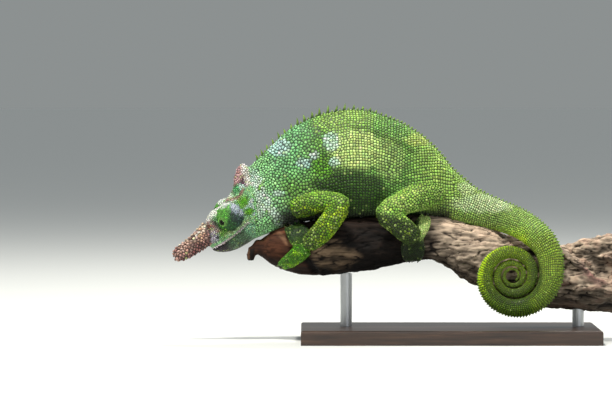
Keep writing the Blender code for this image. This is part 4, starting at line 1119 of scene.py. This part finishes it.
def horn_rows(side):
    """Places for oblong plates in staggered rows round one horn."""
    spots = []
    for k, f in enumerate(np.arange(PLATES_FROM, HORN_F[-1], PLATE_LONG)):
        low, high, half, out = (float(smooth(HORN_F, column, f)) for column in
                                (HORN_LOW, HORN_HIGH, HORN_HALF, HORN_SIDE))
        rise = 0.5 * (high + low) + 0.5 * (high - low) * np.cos(HORN_TURNS)
        ring = np.stack([f + 0.5 * (rise - low) * PLATE_SLOPE, side * out + half * np.sin(HORN_TURNS), rise],
                        axis=1)
        s = lengths(np.concatenate([ring, ring[:1]]))
        count = int(round(s[-1] / PLATE_TALL))
        spots += read_at((np.arange(count) + 0.5 * (k % 2)) * s[-1] / count, s[:-1], ring)
    return from_head(spots)


add_rows(lip_row(0.9, 1.3), 1.35, FORWARD, 2.0, (SKULL,), 2.1)
add_rows(lip_row(-0.9, 1.15), 1.15, FORWARD, 2.0, (JAW, SKULL), 1.3)
for side in (-1, 1):
    rows, sizes = eye_rows(side)
    add_rows(rows, sizes, rows - EYES[side][0] - TURRET_R * EYES[side][1] + 1e-3, ROW_REACH, (DOME, SKULL))
    add_rows(horn_rows(side), 2.8, FORWARD, 1.6, (HORN,))

# Pitch of the scales over each kind of node, and how the loose scales are thrown and settled
PITCHES = np.array((1.6, 1.1, 0.88, 0.84, 0.9, 1.36, 1.4, 0.84, 0.84, 1.5))
NECK_PITCH_AT = (-112.0, -102.0, -90.0, -74.0)
NECK_PITCH = (0.95, 1.25, 1.66, 1.6)
THROWS = 9.0
CELL = 1.7
ROWS_NEAR = 0.58
THROWN_NEAR = 0.84
CLAW_CLEAR = 1.3
SETTLE_ROUNDS = 14
SETTLE_NEIGHBOURS = 7
SETTLE_PUSH = 0.32


def pitch_at(points, nodes):
    """The pitch of the scales wanted at each place."""
    kinds = NODE_KIND[nodes]
    spots = to_head(points)
    casque = step(15.0, 19.0, spots[:, 2]) * step(0.0, -6.0, spots[:, 0])
    crown = step(12.0, 15.0, spots[:, 2]) * step(-2.0, 2.0, spots[:, 0])
    neck = np.interp(points[:, 0], NECK_PITCH_AT, NECK_PITCH)
    wanted = np.where(kinds == BODY, neck, PITCHES[kinds])
    return np.where(kinds == SKULL, wanted + 0.22 * casque + 0.12 * crown, wanted)


def thrown(rng):
    """Random places all over the skin, many times more than there is room for."""
    share = np.cumsum(TRI_AREA / pitch_at(TRI_MIDDLE, TRI_NODE) ** 2)
    count = int(THROWS * share[-1])
    pick = np.searchsorted(share, rng.uniform(0.0, share[-1], count))
    a, b = rng.uniform(size=(2, count))
    fold = a + b > 1
    a[fold], b[fold] = 1 - a[fold], 1 - b[fold]
    sides = TRI_SIDES[pick]
    spots = TRI_CORNERS[pick, 0] + a[:, None] * sides[:, 0] + b[:, None] * sides[:, 1]
    return spots, TRI_NORMAL[pick], TRI_NODE[pick], pitch_at(spots, TRI_NODE[pick])


def spaced(spots, pitch, taken, near):
    """Which places keep their distance from those taken before, looked at one by one."""
    grid = {}
    for p in taken.tolist():
        grid.setdefault(tuple(int(part // CELL) for part in p), []).append(p)
    keep = np.zeros(len(spots), bool)
    for n, (p, limit) in enumerate(zip(spots.tolist(), ((near * pitch) ** 2).tolist())):
        i, j, k = (int(part // CELL) for part in p)
        close = (q for a in (i - 1, i, i + 1) for b in (j - 1, j, j + 1) for c in (k - 1, k, k + 1)
                 for q in grid.get((a, b, c), ()))
        if all((p[0] - q[0]) ** 2 + (p[1] - q[1]) ** 2 + (p[2] - q[2]) ** 2 >= limit for q in close):
            keep[n] = True
            grid.setdefault((i, j, k), []).append(p)
    return keep


def around(points, count):
    """The nearest other points of each point."""
    tree = kdtree.KDTree(len(points))
    for n, p in enumerate(points.tolist()):
        tree.insert(p, n)
    tree.balance()
    return np.array([[hit[1] for hit in tree.find_n(p, count + 1)][1:] for p in points.tolist()])


rng = np.random.default_rng(COAT_SEED)
keep = spaced(COAT["root"], COAT["pitch"], np.empty((0, 3)), ROWS_NEAR)
for key, column in COAT.items():
    COAT[key] = column[keep]
fixed = len(COAT["root"])
spots, normals, nodes, pitch = thrown(rng)
keep = spaced(spots, pitch, COAT["root"], THROWN_NEAR)
spare = to_head(spots)
nostrils = np.hypot(spare[:, 0] - NOSTRIL[0], spare[:, 2] - NOSTRIL[1]) < 1.25 * NOSTRIL_R
keep &= ~(nostrils & (nodes < len(FLESH)))
for tip, ahead in claws_at:
    along, off = from_axis(spots, tip, ahead)
    keep &= ~((off < CLAW_CLEAR) & (along > -CLAW_LONG + 0.3) & (along < 1.0))
ways = unit(rng.normal(size=(keep.sum(), 3)))
set_scales(spots[keep], normals[keep], nodes[keep], pitch[keep], ways, np.ones(keep.sum()))
for repeat in range(SETTLE_ROUNDS):
    close = around(COAT["root"], SETTLE_NEIGHBOURS)[fixed:]
    offset = COAT["root"][fixed:, None] - COAT["root"][close]
    far = np.linalg.norm(offset, axis=2) + 1e-6
    wanted = 0.5 * (COAT["pitch"][fixed:, None] + COAT["pitch"][close])
    push = np.clip(wanted - far, 0.0, None) / far * SETTLE_PUSH
    moved = COAT["root"][fixed:] + np.sum(push[..., None] * offset, axis=1)
    COAT["root"][fixed:], COAT["normal"][fixed:], COAT["node"][fixed:] = laid(moved)[:3]
ROOT, NORMAL, NODE, PITCH, WAY, HIGH = (COAT[key] for key in COAT_KEYS)

# Markings: spots in turn, each with its middle, its size, its colour as seen, how much of it there is
# and how ragged its edge is. First those on the side of the body, laid before and after the painted
# shadow line of its fold
FLANK = (((-58.0, 122.0), (16.0, 7.0), (154, 192, 92), 0.7, 1.0),
         ((-52.0, 105.5), (15.0, 11.5), (196, 224, 134), 0.85, 0.7),
         ((-34.0, 101.0), (9.0, 12.0), (150, 180, 100), 0.7, 1.0),
         # The darker lower flank: partly its own deeper green, partly painted shade under the body.
         ((-55.0, 83.5), (20.0, 12.0), (42, 78, 6), 0.94, 1.0),
         ((-70.5, 97.0), (6.0, 6.8), (84, 144, 22), 0.85, 1.0))
SIDE_SPOTS = (((-94.0, 107.0), (6.4, 4.8), (180, 218, 216), 0.85, 1.0),
              ((-80.5, 98.5), (4.4, 2.8), (176, 204, 206), 0.75, 1.0),
              ((-74.8, 103.0), (2.3, 1.7), (196, 218, 220), 0.85, 1.0),
              ((-65.2, 109.6), (4.4, 5.2), (204, 250, 220), 0.85, 1.0),
              ((-63.4, 98.8), (3.2, 2.4), (190, 226, 208), 0.8, 1.0),
              ((-104.0, 74.0), (2.6, 6.0), (206, 234, 214), 0.7, 1.0),
              ((-94.5, 82.0), (3.4, 2.0), (186, 208, 206), 0.75, 1.0))
NECK_EDGE_Z = (60.0, 68.0, 76.0, 86.0, 96.0)
NECK_EDGE_X = (-88.0, -94.5, -101.0, -105.5, -109.0)
FOLD_X = (-58.0, -47.6, -37.0, -26.5, -18.6, -16.0)
FOLD_Z = (118.5, 117.7, 113.3, 109.0, 104.0, 96.0)
# Then those on the side of the head, read forward and up its slope
FACE_UP, FACE_OUT, FACE_WIDE = 0.966, 0.259, 7.0
FACE_SPOTS = (((-5.4, 10.4), (3.6, 4.6), (104, 168, 44), 0.9, 1.0),
              ((-11.4, 7.6), (3.4, 2.4), (206, 228, 232), 0.9, 1.0),
              ((-8.4, 1.8), (3.2, 2.2), (206, 228, 232), 0.9, 1.0),
              ((-8.2, 6.0), (1.8, 4.0), (206, 228, 232), 0.9, 1.0),
              ((-14.0, 3.4), (3.0, 3.0), (206, 228, 232), 0.9, 1.0),
              ((-6.2, 7.7), (3.0, 1.0), (190, 226, 214), 0.85, 0.4),
              ((-6.0, 10.9), (2.0, 1.6), (104, 190, 30), 0.95, 1.0),
              ((-4.9, 5.0), (2.5, 2.0), (104, 184, 24), 0.95, 0.6),
              ((12.0, 4.0), (5.4, 2.4), (104, 158, 38), 0.9, 1.0),
              ((6.0, 1.9), (9.0, 1.3), (158, 178, 130), 0.7, 1.0),
              # Painted shade: a dark slit in the crease ahead of the turret.
              ((14.4, 9.0), (1.5, 4.2), (46, 44, 26), 0.9, 0.4))
CASQUE_F = (-10.0, -4.8, 0.8, 6.0)
CASQUE_U = (17.0, 14.8, 17.1, 18.0)


def blob(across, up, middle, size, ragged):
    """A soft-edged spot, 1 inside and 0 outside."""
    reach = np.hypot((across - middle[0]) / size[0], (up - middle[1]) / size[1])
    return step(1.25, 0.75, reach + 0.28 * ragged)


def spotted(colour, across, up, ragged, spots):
    """Spots laid over a colour in turn."""
    for middle, size, tone, share, torn in spots:
        colour = mix(colour, srgb(*tone), share * blob(across, up, middle, size, torn * ragged))
    return colour


def body_paint(points):
    """The markings of the trunk and the tail."""
    x, y, z = points.T
    ragged = noise_at(points, (4.5, 4.5, 4.5), 2.0) + 0.6 * noise_at(points, (2.0, 2.0, 2.0), 9.0)
    broad = noise_at(points, (11.0, 11.0, 11.0), 4.0)
    fine = noise_at(points, (2.2, 2.2, 4.4), 51.0)
    neck = step(-88.0, -102.0, x + 0.25 * (z - 90.0))
    teal = step(-72.0, -86.0, x + 3.0 * broad) * step(84.0, 98.0, z)
    edge = np.interp(z, NECK_EDGE_Z, NECK_EDGE_X)
    streak = step(5.0, 2.2, np.abs(x - edge) + 2.0 * ragged) * step(98.0, 90.0, z)
    colour = layered(srgb(104, 154, 68), (
        (0.75 * teal, (124, 192, 134)),
        (neck, (140, 202, 136)),
        (0.5 * neck * step(0.2, 0.9, ragged + 0.5 * broad), (196, 240, 200)),
        (0.85 * streak, (214, 242, 226)),
        (streak * step(0.15, 0.6, fine), (146, 206, 84))))
    colour = spotted(colour, x, z, ragged, FLANK)
    # Painted shadow: a dark line along the fold of the back.
    fold = step(2.4, 0.4, np.abs(z - np.interp(x, FOLD_X, FOLD_Z) + 0.8 * ragged))
    fold = fold * step(-60.0, -50.0, x) * step(-13.0, -18.0, x)
    colour = mix(colour, srgb(76, 112, 30), 0.65 * fold)
    colour = spotted(colour, x, z, ragged, SIDE_SPOTS)
    pale = blob(x, z, (18.0, 76.0), (17.0, 5.0), ragged) + 0.7 * blob(x, z, (9.4, 84.0), (5.0, 4.0), ragged)
    outer = step(45.0, 50.0, x + 0.1 * z)
    inner = step(17.5, 15.5, np.hypot(x - COIL_CENTRE[0], z - COIL_CENTRE[1]))
    green = layered(srgb(196, 236, 24), (
        (outer, (130, 158, 50)),
        # Painted shade: the coil's lower turns darker, its inner turns darker still.
        (step(44.0, 20.0, z) * (1 - 0.6 * outer), (84, 116, 0)),
        (0.75 * inner, (48, 72, 0))))
    colour = layered(colour, (
        (0.8 * step(-28.0, -8.0, x), (154, 190, 88)),
        (0.7 * blob(x, z, (-17.5, 111.0), (6.5, 3.6), ragged), (182, 202, 100)),
        (0.85 * step(4.0, 22.0, x) * step(-19.0, -6.0, y), (128, 158, 78)),
        (0.65 * np.clip(pale, 0.0, 1.0), (206, 226, 176))))
    colour = mix(colour, green, step(66.0, 53.0, z) * step(2.0, 8.0, x))
    # Painted shadow: the underside of the trunk is painted near-black.
    belly = step(78.0, 69.0, z) * step(4.0, -2.0, x) * step(-100.0, -90.0, x)
    midline = step(1.6, 0.8, np.abs(y)) * step(68.5, 67.2, z)
    midline = midline * step(-60.0, -68.0, x) * step(-92.0, -86.0, x)
    return layered(colour, ((0.97 * belly, (8, 14, 3)), (midline, (226, 232, 226))))


def face_paint(points):
    """The markings of the head, the same on both sides."""
    spots = to_head(points)
    f = spots[:, 0]
    u = FACE_UP * spots[:, 2] + FACE_OUT * (FACE_WIDE - np.abs(spots[:, 1]))
    gap = spots[:, 2] - smooth(MOUTH_F, MOUTH_U, f)
    ragged = noise_at(points, (2.6, 2.6, 2.6), 1.0) + 0.6 * noise_at(points, (1.2, 1.2, 1.2), 8.0)
    snout = step(13.5, 16.0, f) * step(4.0, 7.0, u)
    colour = layered(spotted(srgb(150, 210, 150), f, u, ragged, FACE_SPOTS), (
        (0.9 * step(13.0, 15.6, u) * step(-4.0, 0.0, f), (228, 232, 226)),
        (0.9 * snout, (170, 144, 148)),
        (0.85 * snout * step(0.0, 0.5, ragged), (160, 100, 82)),
        (0.8 * snout * step(13.0, 15.0, u), (236, 236, 232)),
        (0.9 * blob(f, u, (19.5, 4.9), (3.4, 3.0), 0.7 * ragged), (176, 166, 188))))
    casque = step(15.5, 18.5, u) * step(-2.0, -5.0, f)
    red = layered(srgb(214, 168, 172), (
        (step(0.0, 0.8, ragged), (178, 110, 114)),
        (step(24.0, 20.5, u + 0.3 * f + 4.0), (96, 62, 84))))
    edge = step(1.2, 0.5, np.abs(u - np.interp(f, CASQUE_F, CASQUE_U)))
    lip = step(1.7, 1.3, gap) * step(-0.1, 0.1, gap) * step(-3.5, -1.0, f)
    colour = layered(mix(colour, red, casque), (
        (casque * blob(f, u, (-7.0, 18.2), (3.2, 3.2), 0.5 * ragged), (92, 176, 112)),
        (casque * blob(f, u, (-9.6, 17.4), (1.6, 3.4), 0.5 * ragged), (196, 232, 224)),
        # Painted highlight: the rear edge of the casque painted near-white.
        (casque * step(-1.2, 0.8, -f - 4.6 - 0.42 * u), (255, 250, 240)),
        (0.85 * edge * step(-11.0, -9.0, f) * step(4.0, 1.0, f), (150, 104, 100)),
        (0.95 * lip, (224, 206, 214))))
    grey = layered(srgb(92, 124, 92), (
        (step(11.0, 18.0, f), (56, 46, 50)),
        (step(6.0, -1.0, f), (132, 190, 150)),
        (0.6 * step(0.2, 0.7, ragged) * step(10.0, 2.0, f), (186, 222, 196)),
        (0.8 * step(-5.0, -9.5, gap + 0.25 * f - 3.0) * step(2.0, 8.0, f), (38, 34, 32))))
    return mix(colour, grey, step(0.1, -0.1, gap))


def dome_paint(points):
    """The markings of the eye turrets, read round each eye's own axis."""
    colour = np.empty((len(points), 3))
    ragged = noise_at(points, (1.6, 1.6, 1.6), 3.0)
    for side, (middle, axis, up, across) in EYES.items():
        mine = to_head(points)[:, 1] * side > 0
        spots = to_head(points[mine]) - np.array((TURRET[0], side * TURRET[1], TURRET[2]))
        f, u, rough = spots[:, 0] / TURRET_R, spots[:, 2] / TURRET_R, 0.12 * ragged[mine]
        off = from_axis(points[mine], middle, axis)[1]
        colour[mine] = layered(srgb(38, 92, 40), (
            (step(0.3, -0.3, f + rough), (56, 78, 76)),
            (step(-0.3, -0.78, f - 0.35 * u + rough), (186, 198, 218)),
            (step(0.12, 0.46, 0.62 * f + 0.8 * u + rough), (94, 172, 62)),
            (0.5 * step(-0.1, 0.7, ragged[mine]), (40, 92, 40)),
            # Painted highlight: the top of each turret painted near-white.
            (step(0.8, 0.93, u - 0.1 * f + rough), (232, 242, 240)),
            (0.8 * step(3.2, 2.4, off), (122, 176, 84)),
            (0.9 * step(2.0, 1.5, off), (40, 44, 30))))
    return colour


def limb_paint(points, kinds):
    """The markings of the limbs, darker towards the toes."""
    x, y, z = points.T
    ragged = noise_at(points, (3.4, 3.4, 3.4), 6.0) + 0.6 * noise_at(points, (1.5, 1.5, 1.5), 7.0)
    arm = layered(srgb(92, 134, 8), (
        (step(-0.2, 0.9, ragged), (182, 212, 36)),
        (0.75 * step(74.0, 79.0, z), (124, 172, 66)),
        (0.6 * step(74.0, 71.0, z) * step(-70.0, -76.0, x), (36, 60, 8))))
    leg = layered(srgb(132, 182, 70), (
        (step(-0.3, 0.9, ragged), (204, 230, 124)),
        (0.75 * step(-24.0, -13.0, x), (112, 150, 58))))
    shin = layered(srgb(50, 74, 8), ((step(0.0, 0.8, ragged), (126, 152, 40)),))
    leg = mix(leg, shin, step(71.5, 67.0, z + 0.25 * (x + 30.0)))
    hand = layered(srgb(70, 132, 0), (
        (step(-0.1, 0.8, ragged), (150, 206, 16)),
        # Painted shade: the hand's upper part painted dark, under the arm.
        (0.9 * step(52.0, 57.0, z), (16, 46, 0))))
    foot = layered(srgb(26, 46, 4), (
        (step(0.1, 0.9, ragged), (88, 122, 26)),
        (0.9 * step(-18.0, -16.0, x) * step(54.0, 60.0, z), (206, 240, 140))))
    return np.choose((kinds - ARM)[:, None], (arm, leg, hand, foot))


def horn_paint(points):
    """The colours of the horns, with a painted highlight along their upper edge."""
    u = to_head(points)[:, 2]
    ragged = noise_at(points, (4.0, 4.0, 4.0), 14.0) + 0.7 * noise_at(points, (1.8, 1.8, 1.8), 15.0)
    return layered(srgb(116, 74, 74), (
        (step(-0.6, 0.7, ragged), (188, 144, 138)),
        (0.6 * step(5.4, 3.4, u), (92, 62, 60)),
        (0.5 * step(5.0, 8.0, u + ragged), (196, 154, 142)),
        # Painted highlight: the upper edge painted pale.
        (0.8 * step(9.0, 11.5, u + 1.5 * ragged), (250, 224, 204)),
        (0.5 * step(0.4, 0.7, ragged) * step(5.0, 8.0, u), (206, 138, 100))))


def paint_of(points, nodes):
    """The colour of the animal at each place."""
    kinds = NODE_KIND[nodes]
    colour = np.empty((len(points), 3))
    for mine, painted in ((kinds <= TAIL, body_paint), (np.isin(kinds, (SKULL, JAW)), face_paint),
                          (kinds == DOME, dome_paint), (kinds == HORN, horn_paint)):
        if mine.any():
            colour[mine] = painted(points[mine])
    mine = (kinds >= ARM) & (kinds < HORN)
    colour[mine] = limb_paint(points[mine], kinds[mine])
    return colour


# One value for each kind of place, in the order of the kinds: the scales' height, how much their front
# lifts, how far out their shoulder lies, how dark their rim is, how uneven their colours are, the share
# of pale ones, and how dark the skin under them is
TALL = np.array((0.4, 0.36, 0.26, 0.24, 0.16, 0.46, 0.44, 0.3, 0.3, 0.62))
TILT = np.array((0.0, 0.1, 0.0, 0.0, 0.0, 0.0, 0.0, 0.0, 0.0, 0.5))
SHOULDER = np.array((0.8, 0.8, 0.8, 0.8, 0.82, 0.78, 0.78, 0.8, 0.8, 0.76))
RIM_SHADE = np.array((0.15, 0.18, 0.14, 0.12, 0.08, 0.13, 0.15, 0.09, 0.09, 0.3))
UNEVEN = np.array((0.24, 0.2, 0.32, 0.32, 0.36, 0.24, 0.24, 0.3, 0.26, 0.26))
PALE_SHARE = np.array((0.02, 0.01, 0.08, 0.06, 0.0, 0.12, 0.12, 0.05, 0.06, 0.06))
UNDER = np.array((0.16, 0.2, 0.36, 0.28, 0.36, 0.18, 0.18, 0.26, 0.26, 0.3))
SPOKES = 8
NEIGHBOURS = 10
SCALE_GAP = 0.075
WIDEST = 0.8
TALLEST = 0.62
RIM_SUNK = 0.16
SHOULDER_TALL = 0.74
PER_PIECE = 8000
BAKE_PATCH = 0.003
CHART_MARGIN = 3.0


def outlines():
    """How far each scale reaches in every direction before it meets its neighbours."""
    along = unit(WAY - np.sum(WAY * NORMAL, axis=1)[:, None] * NORMAL + 1e-6)
    across = np.cross(NORMAL, along)
    close = around(ROOT, NEIGHBOURS)
    offset = ROOT[close] - ROOT[:, None]
    far = np.linalg.norm(offset, axis=2)
    same = (np.sum(NORMAL[close] * NORMAL[:, None], axis=2) > 0.0) & \
           (np.abs(np.sum(offset * NORMAL[:, None], axis=2)) < 0.75 * far + 0.1)
    a = np.sum(offset * along[:, None], axis=2)
    b = np.sum(offset * across[:, None], axis=2)
    flat = np.hypot(a, b) + 1e-6
    reach = np.empty((len(ROOT), SPOKES))
    for k, turn in enumerate(turns(SPOKES)):
        facing = (a * math.cos(turn) + b * math.sin(turn)) / flat
        room = np.where(same & (facing > 0.08), far / (2 * np.maximum(facing, 0.08)), 9.0)
        reach[:, k] = np.minimum(room.min(axis=1), WIDEST * PITCH)
    reach -= 0.5 * SCALE_GAP * PITCH[:, None]
    middle = reach.mean(axis=1, keepdims=True)
    reach = np.minimum(reach, middle + 0.7 * (reach - middle).clip(0.0) + 0.04)
    return along, across, reach


ALONG, ACROSS, REACH = outlines()
kinds = NODE_KIND[NODE]
rng = np.random.default_rng(COAT_SEED + 1)
bright = np.exp(UNEVEN[kinds] * rng.normal(size=len(ROOT)))[:, None]
warm = 1.0 + rng.normal(0.0, 0.05, (len(ROOT), 3))
COLOUR = np.clip(paint_of(ROOT, NODE) * bright * warm, 0.0, 0.95)
pale = rng.uniform(size=len(ROOT)) < PALE_SHARE[kinds]
COLOUR = mix(COLOUR, srgb(196, 222, 128), 0.4 * pale)
SCALE_SHADES = ((0.3, (188, 190, 180)), (0.5, (234, 234, 228)), (0.68, (255, 255, 250)))
scale_finish, shader = painted("painted_scale", (0.36, 0.56), 1700.0, (1.0, 1.0, 1.0), SCALE_SHADES, 0.5,
                               0.12)
shader.inputs["Specular IOR Level"].default_value = 0.32


def scales(name, chosen):
    """Joined scales: a sunk rim, a shoulder and a raised middle for each."""
    kind = NODE_KIND[NODE[chosen]]
    tall = np.minimum(TALL[kind] * HIGH[chosen], TALLEST * REACH[chosen].mean(axis=1))
    swing = turns(SPOKES)
    tilt = 1.0 + TILT[kind][:, None] * np.cos(swing)
    spoke = (np.cos(swing)[None, :, None] * ALONG[chosen][:, None] + np.sin(swing)[None, :, None]
             * ACROSS[chosen][:, None]) * REACH[chosen][..., None]
    root, out = ROOT[chosen][:, None], NORMAL[chosen][:, None]
    narrow = SHOULDER[kind][:, None, None]
    rim, rim_out = laid((root + spoke).reshape(-1, 3))[:2]
    rim = (rim - RIM_SUNK * rim_out).reshape(spoke.shape)
    shoulder, edge_out = laid((root + narrow * spoke).reshape(-1, 3))[:2]
    edge_out = unit(edge_out.reshape(spoke.shape) + out)
    shoulder = shoulder.reshape(spoke.shape) + SHOULDER_TALL * (tall[:, None] * tilt)[..., None] * edge_out
    points = np.concatenate([rim, shoulder, root + tall[:, None, None] * out], axis=1)
    here = np.arange(SPOKES)
    after = (here + 1) % SPOKES
    wall = np.stack([here, after, SPOKES + after, SPOKES + here], axis=1)
    crown = np.stack([SPOKES + here, SPOKES + after, np.full(SPOKES, 2 * SPOKES)], axis=1)
    count = len(chosen)
    start = (np.arange(count) * (2 * SPOKES + 1))[:, None, None]
    loops = np.concatenate([(start + wall).reshape(count, -1), (start + crown).reshape(count, -1)], axis=1)
    sizes = np.tile([4] * SPOKES + [3] * SPOKES, count)
    mesh = bpy.data.meshes.new(name)
    mesh.vertices.add(count * (2 * SPOKES + 1))
    mesh.vertices.foreach_set("co", (points * MM).astype(np.float32).ravel())
    mesh.loops.add(loops.size)
    mesh.loops.foreach_set("vertex_index", loops.astype(np.int32).ravel())
    mesh.polygons.add(len(sizes))
    mesh.polygons.foreach_set("loop_start", np.concatenate([[0], np.cumsum(sizes)[:-1]]).astype(np.int32))
    mesh.update(calc_edges=True)
    mesh.shade_smooth()
    # The rim is painted dark, partly the darker skin and partly painted shade in the gaps; the raised middle
    # is painted lighter as a painted highlight.
    tone = COLOUR[chosen][:, None]
    rim_tone = RIM_SHADE[kind][:, None, None] * tone
    colours = np.concatenate([np.repeat(rim_tone, SPOKES, axis=1), np.repeat(0.95 * tone, SPOKES, axis=1),
                              np.clip(1.25 * tone, 0.0, 0.95)], axis=1)
    put_paint(mesh, colours.reshape(-1, 3))
    local = np.concatenate([REACH[chosen], 0.8 * REACH[chosen], np.zeros((count, 1))], axis=1)
    local = (local / REACH[chosen].max(axis=1, keepdims=True))[..., None]
    circle = np.stack([np.cos(swing), np.sin(swing)], axis=1)
    circle = np.concatenate([circle, circle, np.zeros((1, 2))])
    spread = CHARTS[chosen][:, None] + 0.5 * BAKE_PATCH * local * circle
    layer = mesh.uv_layers.new(name="OFBake")
    layer.data.foreach_set("uv", spread.reshape(-1, 2)[loops.ravel()].astype(np.float32).ravel())
    shown(name, mesh, scale_finish)


def unrolled(points, kind):
    """Places on one node's skin laid flat: along the node, and round it, in millimetres."""
    if kind == TAIL:
        near = np.linalg.norm(points[:, None] - TAIL_POINTS, axis=2).argmin(axis=1)
        middle, along, level = TAIL_POINTS[near], TAIL_S[near], np.gradient(TAIL_POINTS, axis=0)[near]
        along = along + np.sum((points - middle) * unit(level), axis=1)
        side = np.array((0.0, 1.0, 0.0))
        off = points - middle
        round_it = np.arctan2(off @ side, np.sum(off * unit(np.cross(side, level)), axis=1))
    else:
        middle = points.mean(axis=0)
        axes = np.linalg.svd(points - middle, full_matrices=False)[2]
        off = points - middle
        along, round_it = off @ axes[0], np.arctan2(off @ axes[2], off @ axes[1])
    girth = np.median(np.linalg.norm(off, axis=1))
    return np.stack([along - along.min(), girth * (round_it + math.pi)], axis=1)


def shelved(flats):
    """Lays flat charts on shelves in a square of one unit, all at one scale, with a margin."""
    sizes = [flat.max(axis=0) + CHART_MARGIN for flat in flats]
    order = sorted(range(len(flats)), key=lambda k: -sizes[k][1])
    wide = 1.1 * math.sqrt(sum(size[0] * size[1] for size in sizes))
    corners, x, y, tall = {}, 0.0, 0.0, 0.0
    for k in order:
        if x + sizes[k][0] > wide and x > 0.0:
            x, y, tall = 0.0, y + tall, 0.0
        corners[k] = np.array((x, y))
        x, tall = x + sizes[k][0], max(tall, sizes[k][1])
        wide = max(wide, x)
    full = max(wide, y + tall)
    return [(flat + corners[k] + 0.5 * CHART_MARGIN) / full for k, flat in enumerate(flats)]


node_rows = [np.flatnonzero(NODE == number) for number in np.unique(NODE)]
flats = shelved([unrolled(ROOT[rows], kinds[rows[0]]) for rows in node_rows])
CHARTS = np.empty((len(ROOT), 2))
for rows, flat in zip(node_rows, flats):
    CHARTS[rows] = flat
GROUPS = (("body_scales", (BODY,)), ("tail_scales", (TAIL,)), ("head_scales", (SKULL, JAW, DOME)),
          ("arm_scales", (ARM, HAND)), ("leg_scales", (LEG, FOOT)))
scales("horn_plates", np.flatnonzero(kinds == HORN))
for name, group in GROUPS:
    chosen = np.flatnonzero(np.isin(kinds, group))
    for k in range(math.ceil(len(chosen) / PER_PIECE)):
        scales(f"{name}_{k + 1}", chosen[k * PER_PIECE:(k + 1) * PER_PIECE])

# The skin between the scales is painted darker: partly its own darker colour, partly painted shade in the
# gaps.
under = paint_of(SKIN_POINTS, SKIN_NODE) * UNDER[NODE_KIND[SKIN_NODE]][:, None]
start = 0
for piece in [skin] + horn_cores:
    end = start + len(piece.data.vertices)
    put_paint(piece.data, under[start:end])
    start = end
